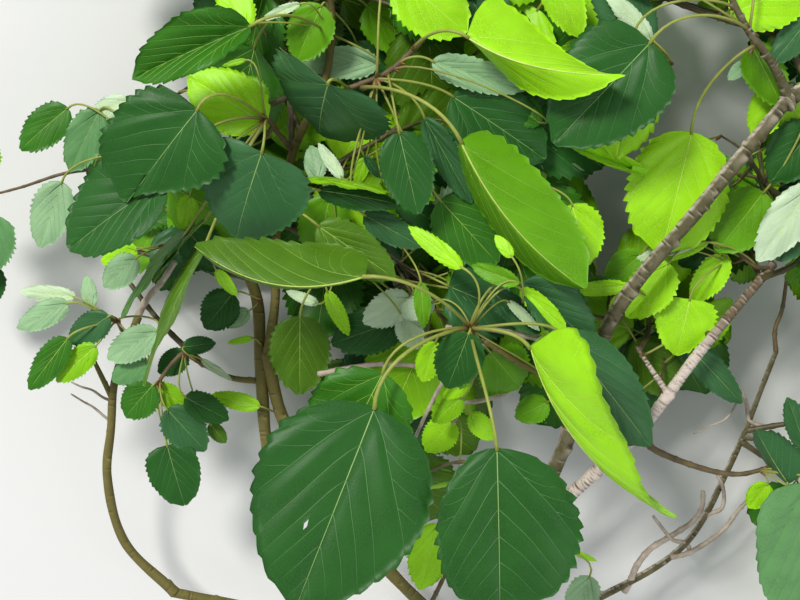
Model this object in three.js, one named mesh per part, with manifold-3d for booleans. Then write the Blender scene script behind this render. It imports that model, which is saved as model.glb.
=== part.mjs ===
// A leafy branch of a big-toothed poplar, cut from its tree and laid on a level floor.
// Units are millimetres, +Z is up. Seen from straight above, the butt is at the bottom of the
// picture and the limbs fan out to the left, to the top and to the right.
// Limbs are tapering rods bent along their own lines. Each mass of foliage is one closed, uneven
// solid, cut clear of the limbs that run into it and of the masses beside it.

import * as THREE from "three";
import { mergeVertices } from "three/addons/utils/BufferGeometryUtils.js";
import Module from "manifold-3d";

// Driving dimensions
const BUTT_RADIUS = 10.5;
const CLEARANCE = 0.3; // left between a piece and the limb that carries it
const MASS_CLEARANCE = 0.6; // left between two masses of foliage
const LIMB_SIDES = 8;
const SHOOT_SIDES = 6; // for whatever starts thinner than THIN_ROOT
const THIN_ROOT = 4.5;
const STEP_LENGTH = 36; // along a limb, between two rings
const COLLAR_SWELL = 0.22; // how much a limb thickens where it leaves its parent
const COLLAR_LENGTH = 12;
const MASS_DETAIL = 3; // subdivisions of the round form that a mass starts from
const MASS_LUMPS = 5; // waves that make a mass uneven
const MASS_UNEVENNESS = 0.13;
const FLOOR = 0;
const SPREAD_MIDDLE = { x: 22.8, y: -21.8 }; // middle of the whole spread, in the limbs' own coordinates

const BARK_GREY = new THREE.MeshStandardMaterial({ color: 0x7d6a5b, roughness: 0.85, metalness: 0 });
const BARK_TAN = new THREE.MeshStandardMaterial({ color: 0x9a7f66, roughness: 0.8, metalness: 0 });
const BARK_PALE = new THREE.MeshStandardMaterial({ color: 0xb9a193, roughness: 0.8, metalness: 0 });
const LEAF_DEEP = new THREE.MeshStandardMaterial({ color: 0x2f6b34, roughness: 0.55, metalness: 0 });
const LEAF_MID = new THREE.MeshStandardMaterial({ color: 0x5a9422, roughness: 0.55, metalness: 0 });
const LEAF_BRIGHT = new THREE.MeshStandardMaterial({ color: 0x9ed12a, roughness: 0.55, metalness: 0 });

// Each limb starts on its parent's line, at that share of the parent's length, and then passes
// through its own few points. Radii are at its root and its tip.
const LIMBS = [
  {
    name: "limb_main",
    start: [56, -352, 12.6],
    through: [[55, -288, 31], [60, -252, 46]],
    tip: [70, -224, 58],
    radii: [BUTT_RADIUS, 8.4],
    bark: BARK_GREY,
  },
  {
    name: "limb_right_upper",
    on: "limb_main",
    at: 0.9,
    through: [[95, -171, 84], [120, -110, 110], [150, -11, 148], [204, 63, 172]],
    tip: [264, 139, 180],
    radii: [6.6, 5.2],
    bark: BARK_GREY,
  },
  {
    name: "limb_right_tip",
    on: "limb_right_upper",
    at: 0.975,
    through: [[288, 154, 177]],
    tip: [330, 176, 164],
    radii: [4.4, 3],
    bark: BARK_GREY,
  },
  {
    name: "limb_right_top",
    on: "limb_right_upper",
    at: 0.965,
    through: [[246, 157, 194], [226, 175, 206]],
    tip: [208, 206, 212],
    radii: [3.6, 2.3],
    bark: BARK_TAN,
  },
  {
    name: "limb_right_lower",
    on: "limb_main",
    at: 0.78,
    through: [[100, -184, 74], [128, -146, 95], [175, -95, 118], [216, -37, 128]],
    tip: [272, 27, 121],
    radii: [5.8, 3.4],
    bark: BARK_PALE,
  },
  {
    name: "limb_middle_lower",
    on: "limb_main",
    at: 0.56,
    through: [[24, -247, 48], [-16, -203, 60], [-54, -147, 76], [-87, -93, 92]],
    tip: [-98, -32, 106],
    radii: [4.9, 3.7],
    bark: BARK_TAN,
  },
  {
    name: "limb_middle_upper",
    on: "limb_middle_lower",
    at: 0.985,
    through: [[-90, 55, 121], [-76, 107, 134], [-53, 155, 144], [-48, 200, 148]],
    tip: [-57, 250, 140],
    radii: [3.6, 2.4],
    bark: BARK_TAN,
  },
  {
    name: "limb_middle_left",
    on: "limb_middle_lower",
    at: 0.6,
    through: [[-88, -125, 84], [-103, -92, 93], [-108, -40, 101]],
    tip: [-122, 30, 105],
    radii: [3.7, 2.4],
    bark: BARK_TAN,
  },
  {
    name: "limb_left_lower",
    on: "limb_main",
    at: 0.4,
    through: [[0, -283, 30], [-64, -253, 36], [-128, -238, 42]],
    tip: [-186, -221, 52],
    radii: [5, 4],
    bark: BARK_TAN,
  },
  {
    name: "limb_left_upper",
    on: "limb_left_lower",
    at: 0.985,
    through: [[-214, -190, 60], [-227, -138, 70], [-217, -61, 86]],
    tip: [-196, -12, 95],
    radii: [3.8, 2.5],
    bark: BARK_TAN,
  },
  {
    name: "shoot_low_right",
    on: "limb_main",
    at: 0.5,
    through: [[104, -263, 40], [158, -237, 44], [223, -193, 54], [255, -130, 66]],
    tip: [286, -38, 84],
    radii: [3.4, 1.9],
    bark: BARK_GREY,
  },
  {
    name: "shoot_low_edge",
    on: "shoot_low_right",
    at: 0.8,
    through: [[285, -106, 78]],
    tip: [308, -118, 84],
    radii: [2, 1.6],
    bark: BARK_GREY,
  },
  {
    name: "shoot_centre",
    on: "limb_right_upper",
    at: 0.45,
    through: [[108, -55, 152], [82, -43, 173]],
    tip: [56, -27, 190],
    radii: [2.9, 2.1],
    bark: BARK_TAN,
  },
  {
    name: "shoot_right_inner",
    on: "limb_right_lower",
    at: 0.66,
    through: [],
    tip: [172, -34, 118],
    radii: [2.2, 1.6],
    bark: BARK_PALE,
  },
  {
    name: "shoot_left_inner",
    on: "limb_middle_left",
    at: 0.56,
    through: [[-125, -58, 101]],
    tip: [-148, -46, 111],
    radii: [2.2, 1.6],
    bark: BARK_TAN,
  },
  {
    name: "shoot_left_outer",
    on: "limb_left_upper",
    at: 0.72,
    through: [],
    tip: [-234, -38, 92],
    radii: [2, 1.5],
    bark: BARK_TAN,
  },
];

// Each mass: its middle, its half sizes across, up the picture and in height, its turn in
// degrees, and the seed of its unevenness.
const MASSES = [
  { name: "mass_centre_front", middle: [22, 42, 220], half: [126, 68, 42], turn: -8, seed: 3, leaf: LEAF_MID },
  { name: "mass_centre_low", middle: [6, -112, 190], half: [116, 90, 58], turn: 4, seed: 8, leaf: LEAF_DEEP },
  { name: "mass_centre_right", middle: [142, -50, 204], half: [52, 84, 44], turn: 28, seed: 21, leaf: LEAF_BRIGHT },
  { name: "mass_upper_left", middle: [-152, 112, 112], half: [98, 90, 112], turn: 12, seed: 5, leaf: LEAF_DEEP },
  { name: "mass_upper_middle", middle: [8, 152, 130], half: [94, 84, 106], turn: 0, seed: 11, leaf: LEAF_MID },
  { name: "mass_centre_back", middle: [-22, 8, 84], half: [90, 100, 88], turn: 20, seed: 14, leaf: LEAF_MID },
  { name: "mass_upper_right", middle: [158, 150, 190], half: [98, 74, 72], turn: -6, seed: 17, leaf: LEAF_DEEP },
  { name: "mass_right_inner", middle: [190, 26, 82], half: [88, 92, 84], turn: 35, seed: 26, leaf: LEAF_BRIGHT },
  { name: "mass_right_edge", middle: [310, 96, 106], half: [78, 112, 110], turn: -10, seed: 29, leaf: LEAF_MID },
  { name: "mass_low_right", middle: [324, -124, 76], half: [60, 88, 80], turn: -14, seed: 32, leaf: LEAF_DEEP },
  { name: "mass_left_inner", middle: [-160, -64, 92], half: [60, 68, 50], turn: 25, seed: 35, leaf: LEAF_DEEP },
  { name: "mass_left_outer", middle: [-258, -38, 76], half: [56, 56, 78], turn: -15, seed: 38, leaf: LEAF_MID },
  { name: "mass_left_edge", middle: [-272, 62, 80], half: [64, 66, 84], turn: 10, seed: 41, leaf: LEAF_DEEP },
  { name: "mass_top", middle: [-64, 256, 120], half: [120, 54, 96], turn: -6, seed: 44, leaf: LEAF_DEEP },
  { name: "mass_top_right", middle: [146, 246, 156], half: [106, 60, 92], turn: -4, seed: 47, leaf: LEAF_BRIGHT },
];

const wasm = await Module();
wasm.setup();

// A closed three.js geometry as a solid that can be cut.
function toSolid(geometry) {
  const plain = new THREE.BufferGeometry();
  plain.setAttribute("position", geometry.getAttribute("position"));
  plain.setIndex(geometry.index);
  const merged = mergeVertices(plain, 1e-4);
  return new wasm.Manifold(
    new wasm.Mesh({
      numProp: 3,
      vertProperties: merged.attributes.position.array,
      triVerts: new Uint32Array(merged.index.array),
    }),
  );
}

// A cut solid as a three.js geometry. Cutting may leave crumbs, so the largest body is kept.
function toGeometry(solid) {
  const largest = solid.decompose().sort((a, b) => b.volume() - a.volume())[0];
  const mesh = largest.getMesh();
  const geometry = new THREE.BufferGeometry();
  geometry.setAttribute("position", new THREE.BufferAttribute(new Float32Array(mesh.vertProperties), 3));
  geometry.setIndex(new THREE.BufferAttribute(new Uint32Array(mesh.triVerts), 1));
  geometry.computeVertexNormals();
  return geometry;
}

// A rod with closed ends, bent along the path: a cylinder's own axis is laid on the path and its
// rings stand square to it. It tapers from root to tip, with a collar at the root.
function limbGeometry(path, [rootRadius, tipRadius], grow = 0) {
  const length = path.getLength();
  const steps = Math.max(2, Math.round(length / STEP_LENGTH));
  const frames = path.computeFrenetFrames(steps, false);
  const sides = rootRadius < THIN_ROOT ? SHOOT_SIDES : LIMB_SIDES;
  const geometry = new THREE.CylinderGeometry(1, 1, 1, sides, steps);
  const position = geometry.getAttribute("position");
  const point = new THREE.Vector3();
  for (let i = 0; i < position.count; i++) {
    point.fromBufferAttribute(position, i);
    const ring = Math.round((point.y + 0.5) * steps);
    const share = ring / steps;
    const collar = 1 + COLLAR_SWELL * Math.exp(-(share * length) / COLLAR_LENGTH);
    const radius = THREE.MathUtils.lerp(rootRadius, tipRadius, share) * collar + grow;
    const bent = path
      .getPointAt(share)
      .addScaledVector(frames.binormals[ring], point.x * radius)
      .addScaledVector(frames.normals[ring], point.z * radius);
    position.setXYZ(i, bent.x, bent.y, bent.z);
  }
  return geometry;
}

// The unevenness of a mass in one direction: a few long waves across the round form.
function lumps(direction, seed) {
  let height = 1;
  for (let i = 1; i <= MASS_LUMPS; i++) {
    const wave = new THREE.Vector3(
      Math.sin(seed * 1.7 + i * 2.1),
      Math.sin(seed * 2.9 + i * 1.3),
      Math.sin(seed * 0.8 + i * 3.7),
    ).multiplyScalar(1.4 + 0.55 * i);
    height += (MASS_UNEVENNESS / Math.sqrt(i)) * Math.sin(wave.dot(direction) + seed * i);
  }
  return height;
}

// A mass: a round form made uneven, stretched to its half sizes, turned and put in its place,
// with nothing below the floor.
function massGeometry({ middle, half, turn, seed }, grow = 0) {
  const geometry = new THREE.IcosahedronGeometry(1, MASS_DETAIL);
  const position = geometry.getAttribute("position");
  const up = new THREE.Vector3(0, 0, 1);
  const point = new THREE.Vector3();
  for (let i = 0; i < position.count; i++) {
    point.fromBufferAttribute(position, i).normalize();
    const reach = lumps(point, seed);
    point.set(
      point.x * (half[0] * reach + grow),
      point.y * (half[1] * reach + grow),
      point.z * (half[2] * reach + grow),
    );
    point.applyAxisAngle(up, THREE.MathUtils.degToRad(turn)).add(new THREE.Vector3(...middle));
    position.setXYZ(i, point.x, point.y, Math.max(point.z, FLOOR - grow));
  }
  return geometry;
}

const branch = new THREE.Group();
branch.position.set(-SPREAD_MIDDLE.x, -SPREAD_MIDDLE.y, 0);

function addPiece(name, solid, material) {
  const piece = new THREE.Mesh(toGeometry(solid), material);
  piece.name = name;
  branch.add(piece);
}

// Limbs, each cut clear of the ones before it.
const paths = new Map();
const clearOfLimbs = [];
for (const { name, start, on, at, through, tip, radii, bark } of LIMBS) {
  const root = on ? paths.get(on).getPointAt(at) : new THREE.Vector3(...start);
  const points = [root, ...through.map((p) => new THREE.Vector3(...p)), new THREE.Vector3(...tip)];
  const path = new THREE.CatmullRomCurve3(points, false, "centripetal");
  paths.set(name, path);
  let solid = toSolid(limbGeometry(path, radii));
  for (const earlier of clearOfLimbs) solid = solid.subtract(earlier);
  clearOfLimbs.push(toSolid(limbGeometry(path, radii, CLEARANCE)));
  addPiece(name, solid, bark);
}

// Masses, each cut clear of every limb and of the masses before it.
const clearOfMasses = [];
for (const mass of MASSES) {
  let solid = toSolid(massGeometry(mass));
  for (const limb of clearOfLimbs) solid = solid.subtract(limb);
  for (const earlier of clearOfMasses) solid = solid.subtract(earlier);
  clearOfMasses.push(toSolid(massGeometry(mass, MASS_CLEARANCE)));
  addPiece(mass.name, solid, mass.leaf);
}

export default branch;
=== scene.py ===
# A leafy branch of a big-toothed poplar, cut and laid on the floor, seen from straight above.
# Metres throughout, except where a dictionary says millimetres or pixels.

import bpy
import numpy as np
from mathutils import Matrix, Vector


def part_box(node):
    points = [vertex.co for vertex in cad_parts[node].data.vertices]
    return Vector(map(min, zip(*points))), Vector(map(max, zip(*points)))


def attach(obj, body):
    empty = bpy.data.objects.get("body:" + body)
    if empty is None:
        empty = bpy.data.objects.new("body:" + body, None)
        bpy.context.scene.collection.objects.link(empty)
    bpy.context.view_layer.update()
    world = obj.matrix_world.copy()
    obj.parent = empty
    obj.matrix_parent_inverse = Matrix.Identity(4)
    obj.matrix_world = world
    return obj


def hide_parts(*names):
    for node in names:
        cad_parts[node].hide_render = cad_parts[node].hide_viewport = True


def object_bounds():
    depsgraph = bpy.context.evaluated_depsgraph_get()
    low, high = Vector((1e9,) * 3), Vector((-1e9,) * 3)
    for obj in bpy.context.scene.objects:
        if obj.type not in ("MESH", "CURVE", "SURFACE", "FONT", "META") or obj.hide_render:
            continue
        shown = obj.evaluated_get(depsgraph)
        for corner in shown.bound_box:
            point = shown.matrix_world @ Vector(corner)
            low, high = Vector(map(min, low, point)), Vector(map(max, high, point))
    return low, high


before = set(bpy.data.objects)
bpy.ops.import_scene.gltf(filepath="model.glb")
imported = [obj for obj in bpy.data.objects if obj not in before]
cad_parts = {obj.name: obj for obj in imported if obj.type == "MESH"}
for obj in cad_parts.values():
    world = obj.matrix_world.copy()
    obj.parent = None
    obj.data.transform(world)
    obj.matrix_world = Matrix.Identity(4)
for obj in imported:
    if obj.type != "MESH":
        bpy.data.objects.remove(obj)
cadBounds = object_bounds()
mm = 0.001
dice = np.random.default_rng(41)


# Camera

camera = {
    "picture": (800, 600),          # pixels across and down
    "over": (-22.8 * mm, 21.8 * mm),  # the point on the floor that the picture's middle shows
    "height": 927.8 * mm,
    "lens": 50.0,
    "sensor": 36.0,
}
pixelSpread = camera["sensor"] / camera["lens"] / camera["picture"][0]  # metres per pixel at 1 m


def seen(across, down, height):
    # the place that shows at a pixel: pixel offset from the middle x distance below the lens
    away = (camera["height"] - height) * pixelSpread
    x = camera["over"][0] + (across - camera["picture"][0] / 2) * away
    y = camera["over"][1] + (camera["picture"][1] / 2 - down) * away
    return np.array([x, y, height])


def pixelsOf(points):
    # the other way round: where places show in the picture
    away = (camera["height"] - points[..., 2]) * pixelSpread
    across = (points[..., 0] - camera["over"][0]) / away + camera["picture"][0] / 2
    down = camera["picture"][1] / 2 - (points[..., 1] - camera["over"][1]) / away
    return across, down


# Small helpers

def unit(vectors):
    # each one divided by its own length
    return vectors / np.maximum(np.linalg.norm(vectors, axis=-1, keepdims=True), 1e-9)


def smooth(t):
    # three t squared less two t cubed, held at 0 and 1 outside that span
    t = np.clip(t, 0, 1)
    return t * t * (3 - 2 * t)


spanSteps = 24  # places worked out between two points of a curve, before they are evened out


def curveThrough(points, step):
    # centripetal Catmull-Rom curve: each span's cubic has knots spaced by the root of the chord,
    # and the whole curve is then read off at even steps of its own length
    points = np.asarray(points, float)
    if len(points) == 2:
        points = np.array([points[0], points.mean(0), points[1]])
    first = 2 * points[0] - points[1]
    last = 2 * points[-1] - points[-2]
    p = np.vstack([first, points, last])
    t = np.linspace(0, 1, spanSteps, endpoint=False)[:, None]
    spans = []
    for a, b, c, d in zip(p[:-3], p[1:-2], p[2:-1], p[3:]):
        ab, bc, cd = (max(np.linalg.norm(q - r) ** 0.5, 1e-6) for q, r in ((b, a), (c, b), (d, c)))
        leave = ((b - a) / ab - (c - a) / (ab + bc) + (c - b) / bc) * bc
        arrive = ((c - b) / bc - (d - b) / (bc + cd) + (d - c) / cd) * bc
        cubic = 2 * b - 2 * c + leave + arrive
        square = -3 * b + 3 * c - 2 * leave - arrive
        spans.append(cubic * t ** 3 + square * t ** 2 + leave * t + b)
    dense = np.vstack(spans + [points[-1:]])
    run = np.concatenate([[0], np.cumsum(np.linalg.norm(np.diff(dense, axis=0), axis=1))])
    count = max(int(round(run[-1] / step)) + 1, 4)
    along = np.linspace(0, run[-1], count)
    return np.stack([np.interp(along, run, dense[:, k]) for k in range(3)], axis=1)


def framesAlong(paths):
    # for paths (n, steps, 3): unit tangent, and two unit vectors square to it, held steady by
    # whichever axis the whole path leans away from most
    tangent = unit(np.gradient(paths, axis=1))
    lean = np.abs(tangent).max(axis=1)
    steady = np.eye(3)[np.argmin(lean, axis=1)][:, None, :]
    side = unit(np.cross(tangent, steady))
    return tangent, side, np.cross(side, tangent)


rimInk = 2  # faces with this ink are shaded flat


class Mesh:
    # gathers vertices and faces of many small shapes for one piece

    def __init__(self):
        self.points, self.faces, self.inks, self.marks, self.count = [], [], [], [], 0

    def add(self, points, faces, ink=0, mark=None):
        # points (v, 3), faces (f, 4) with a repeated last corner for a triangle
        self.points.append(points.reshape(-1, 3))
        self.faces.append(faces.reshape(-1, 4) + self.count)
        self.inks.append(np.broadcast_to(np.asarray(ink), (len(self.faces[-1]),)))
        self.marks.append(np.zeros(len(self.points[-1])) if mark is None else mark.reshape(-1))
        self.count += len(self.points[-1])

    def piece(self, name, materials, nodes, slot):
        # makes the object, with a material for each ink, in place of the given nodes
        points, faces = np.vstack(self.points), np.vstack(self.faces)
        inks, marks = np.concatenate(self.inks), np.concatenate(self.marks)
        corners = np.where(faces[:, 3] == faces[:, 2], 3, 4)
        starts = np.concatenate([[0], np.cumsum(corners)[:-1]])
        keep = np.ones(faces.shape, bool)
        keep[:, 3] = corners == 4
        mesh = bpy.data.meshes.new(name)
        mesh.vertices.add(len(points))
        mesh.vertices.foreach_set("co", points.astype(np.float32).ravel())
        mesh.loops.add(int(corners.sum()))
        mesh.loops.foreach_set("vertex_index", faces[keep].astype(np.int32))
        mesh.polygons.add(len(faces))
        mesh.polygons.foreach_set("loop_start", starts.astype(np.int32))
        mesh.polygons.foreach_set("material_index", inks.astype(np.int32))
        mesh.polygons.foreach_set("use_smooth", inks != rimInk)
        mark = mesh.attributes.new("mark", "FLOAT", "POINT")
        mark.data.foreach_set("value", marks.astype(np.float32))
        mesh.update(calc_edges=True)
        for material in materials:
            mesh.materials.append(material)
        thing = bpy.data.objects.new(name, mesh)
        bpy.context.scene.collection.objects.link(thing)
        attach(thing, "root")
        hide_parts(*nodes)
        print(f"{name}: {int((corners - 2).sum())} triangles")


def gridFaces(rows, columns, closed=False):
    # quads of a grid of points, wrapped round in the second direction if closed
    r = np.arange(rows - 1)[:, None]
    c = np.arange(columns if closed else columns - 1)[None, :]
    nextC = (c + 1) % columns
    quads = [r * columns + c, r * columns + nextC, (r + 1) * columns + nextC, (r + 1) * columns + c]
    return np.stack(np.broadcast_arrays(*quads), axis=-1).reshape(-1, 4)


def repeated(faces, copies, size):
    # the same faces for each of many copies that hold size points each
    return (faces[None] + np.arange(copies)[:, None, None] * size).reshape(-1, 4)


capRise = 0.4    # of a rod's end point beyond its last ring, share of the radius
twigSides = 6


def tubes(mesh, paths, radii, sides=twigSides, mark=None):
    # rods: a ring of points round each step of each path, radius from radii (n, steps), closed by
    # a point at either end
    count, steps, _ = paths.shape
    tangent, side, other = framesAlong(paths)
    turn = np.arange(sides) * 2 * np.pi / sides
    ring = (np.cos(turn)[:, None] * side[:, :, None] * radii[..., None, None]
            + np.sin(turn)[:, None] * other[:, :, None] * radii[..., None, None])
    wall = paths[:, :, None] + ring
    ends = np.stack([paths[:, 0] - tangent[:, 0] * radii[:, :1] * capRise,
                     paths[:, -1] + tangent[:, -1] * radii[:, -1:] * capRise], axis=1)
    points = np.concatenate([wall.reshape(count, -1, 3), ends], axis=1)
    size = steps * sides + 2
    around = np.arange(sides)
    ahead = (around + 1) % sides
    foot = np.stack([np.full(sides, size - 2), ahead, around, around], axis=1)
    top = np.stack([np.full(sides, size - 1), (steps - 1) * sides + around,
                    (steps - 1) * sides + ahead, (steps - 1) * sides + ahead], axis=1)
    faces = np.vstack([gridFaces(steps, sides, closed=True), foot, top])
    marks = None
    if mark is not None:
        marks = np.concatenate([np.repeat(mark, sides, axis=1), mark[:, [0, -1]]], axis=1)
    mesh.add(points, repeated(faces, count, size), 0, marks)


# Materials

def newMaterial(name):
    # a material, its node tree and its shader
    material = bpy.data.materials.new(name)
    material.use_nodes = True
    tree = material.node_tree
    return material, tree, tree.nodes["Principled BSDF"]


def blendOf(tree, amount, low, high):
    # colour between two, by the amount
    mix = tree.nodes.new("ShaderNodeMix")
    mix.data_type = "RGBA"
    tree.links.new(amount, mix.inputs[0])
    for socket, value in ((mix.inputs[6], low), (mix.inputs[7], high)):
        if isinstance(value, tuple):
            socket.default_value = (*value, 1)
        else:
            tree.links.new(value, socket)
    return mix.outputs[2]


def stretched(tree, value, low, high):
    # value from low..high spread over 0..1
    spread = tree.nodes.new("ShaderNodeMapRange")
    spread.inputs["From Min"].default_value = low
    spread.inputs["From Max"].default_value = high
    tree.links.new(value, spread.inputs["Value"])
    return spread.outputs["Result"]


def noise(tree, scale, detail=2.0, kind="ShaderNodeTexNoise"):
    # a pattern on the object's own coordinates: its value, and its node
    place = tree.nodes.new("ShaderNodeTexCoord")
    pattern = tree.nodes.new(kind)
    pattern.inputs["Scale"].default_value = scale
    if "Detail" in pattern.inputs:
        pattern.inputs["Detail"].default_value = detail
    tree.links.new(place.outputs["Object"], pattern.inputs["Vector"])
    return pattern.outputs[0], pattern


def bumpFrom(tree, shader, height, strength, distance):
    # tilts the shading by the slope of the height
    bump = tree.nodes.new("ShaderNodeBump")
    bump.inputs["Strength"].default_value = strength
    bump.inputs["Distance"].default_value = distance
    tree.links.new(height, bump.inputs["Height"])
    tree.links.new(bump.outputs["Normal"], shader.inputs["Normal"])


leafSkin = {  # scales are patterns per metre
    "upperGloss": 0.42, "underGloss": 0.6, "shine": 0.25,
    "cloud": 42.0, "cloudFrom": (0.34, 0.66), "darker": 0.84, "lighter": 1.10,
    "net": 520.0, "netLine": 0.09, "netPaler": 1.07, "netLift": 0.004, "netRelief": (0.12, 0.2 * mm),
    "specks": 85.0, "speckSize": (0.085, 0.05), "speckColour": (0.36, 0.46, 0.12),
}


def leafFinish(name, colour, gloss):
    # satin skin: the base colour drifts a little lighter and darker, a fine net of the smallest
    # veins shows as faint pale lines and a shallow relief, and a few specks are yellower
    material, tree, shader = newMaterial(name)
    cloud, _ = noise(tree, leafSkin["cloud"])
    darker = tuple(c * leafSkin["darker"] for c in colour)
    lighter = tuple(min(c * leafSkin["lighter"], 1) for c in colour)
    body = blendOf(tree, stretched(tree, cloud, *leafSkin["cloudFrom"]), darker, lighter)
    net, cells = noise(tree, leafSkin["net"], kind="ShaderNodeTexVoronoi")
    cells.feature = "DISTANCE_TO_EDGE"
    line = stretched(tree, net, 0.0, leafSkin["netLine"])
    paler = tuple(min(c * leafSkin["netPaler"] + leafSkin["netLift"], 1) for c in colour)
    body = blendOf(tree, line, paler, body)
    spot, _ = noise(tree, leafSkin["specks"], kind="ShaderNodeTexVoronoi")
    speck = tuple((c + s) / 2 for c, s in zip(colour, leafSkin["speckColour"]))
    body = blendOf(tree, stretched(tree, spot, *leafSkin["speckSize"]), body, speck)
    tree.links.new(body, shader.inputs["Base Color"])
    bumpFrom(tree, shader, line, *leafSkin["netRelief"])
    shader.inputs["Roughness"].default_value = gloss
    shader.inputs["Specular IOR Level"].default_value = leafSkin["shine"]
    return material


def marked(tree):
    # the value that the mesh carries at its points
    scar = tree.nodes.new("ShaderNodeAttribute")
    scar.attribute_name = "mark"
    return scar.outputs["Fac"]


plainSkin = {"detail": 3.0, "from": (0.35, 0.65), "relief": (0.25, 0.3 * mm)}


def plainFinish(name, colour, drift=0.85, gloss=0.5, scale=160.0, foot=None):
    # one colour that drifts along a fine noise, with a faint grain, and blends into a second
    # colour where the mesh is marked
    material, tree, shader = newMaterial(name)
    cloud, _ = noise(tree, scale, plainSkin["detail"])
    darker = tuple(c * drift for c in colour)
    body = blendOf(tree, stretched(tree, cloud, *plainSkin["from"]), darker, colour)
    if foot:
        body = blendOf(tree, marked(tree), body, foot)
    tree.links.new(body, shader.inputs["Base Color"])
    bumpFrom(tree, shader, cloud, *plainSkin["relief"])
    shader.inputs["Roughness"].default_value = gloss
    return material


barkSkin = {  # scale and detail of each noise, and the stretch of it that counts
    "patches": (120.0, 4.0), "patchFrom": (0.42, 0.62), "weathering": 0.10,
    "grain": (900.0, 3.0), "grainFrom": (0.22, 0.42), "grainShade": 0.6, "relief": (0.5, 0.6 * mm),
    "gloss": 0.72,
}


def barkFinish(name, colour, dark, pale):
    # bark: fine grain over drifting patches, pale where the mark is below nought and dark where it
    # is above
    material, tree, shader = newMaterial(name)
    patch, _ = noise(tree, *barkSkin["patches"])
    grain, _ = noise(tree, *barkSkin["grain"])
    mark = marked(tree)
    share = barkSkin["weathering"]
    weathered = tuple((1 - share) * c + share * p for c, p in zip(colour, pale))
    shaded = tuple(c * barkSkin["grainShade"] for c in colour)
    body = blendOf(tree, stretched(tree, patch, *barkSkin["patchFrom"]), colour, weathered)
    body = blendOf(tree, stretched(tree, mark, 0.0, -1.0), body, pale)
    body = blendOf(tree, stretched(tree, mark, 0.0, 1.0), body, dark)
    body = blendOf(tree, stretched(tree, grain, *barkSkin["grainFrom"]), shaded, body)
    tree.links.new(body, shader.inputs["Base Color"])
    bumpFrom(tree, shader, grain, *barkSkin["relief"])
    shader.inputs["Roughness"].default_value = barkSkin["gloss"]
    return material


# tones of leaf: upper skin, under skin, the slot it fills and the shade of its veins. Each tone is
# partly the leaf's own colour and partly painted light: the darker ones stand for leaves in shade, lime
# and bright for sun shining through the blade, pale and silver for a painted sheen
tones = {
    "deep": ((0.018, 0.104, 0.012), (0.14, 0.26, 0.10), "leaf_deep", "dark"),
    "green": ((0.036, 0.172, 0.008), (0.15, 0.29, 0.09), "leaf_deep", "warm"),
    "teal": ((0.038, 0.140, 0.042), (0.16, 0.28, 0.15), "leaf_deep", "dark"),
    "sage": ((0.120, 0.300, 0.100), (0.22, 0.34, 0.18), "leaf_mid", "dark"),
    "olive": ((0.074, 0.182, 0.006), (0.16, 0.29, 0.07), "leaf_mid", "warm"),
    "mid": ((0.125, 0.355, 0.005), (0.19, 0.38, 0.06), "leaf_mid", "warm"),
    "lime": ((0.230, 0.540, 0.005), (0.24, 0.46, 0.05), "leaf_bright", "light"),
    "bright": ((0.350, 0.760, 0.009), (0.30, 0.58, 0.05), "leaf_bright", "light"),
    "pale": ((0.300, 0.500, 0.260), (0.34, 0.48, 0.27), "leaf_mid", "dark"),
    "silver": ((0.560, 0.720, 0.480), (0.50, 0.62, 0.42), "leaf_bright", "light"),
}
veinShades = {  # midrib, side veins, and the slot they fill
    "dark": ((0.34, 0.50, 0.15), (0.115, 0.270, 0.085), "leaf_mid"),
    "warm": ((0.52, 0.70, 0.12), (0.250, 0.460, 0.045), "leaf_bright"),
    "light": ((0.74, 0.92, 0.20), (0.560, 0.860, 0.100), "leaf_bright"),
}
marginPaleness = 0.4  # how far the cut edge of a blade goes from the upper skin to the midrib's colour
print("materials and tones ready")


# Limbs: the same lines and radii as the solids, in millimetres from the picture's middle. Each one
# leaves the limb that it is on at a share of that limb's line; radii are at its root and its tip;
# knobs counts its leaf scars; bloom is how much of a pale cover it has.

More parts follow.
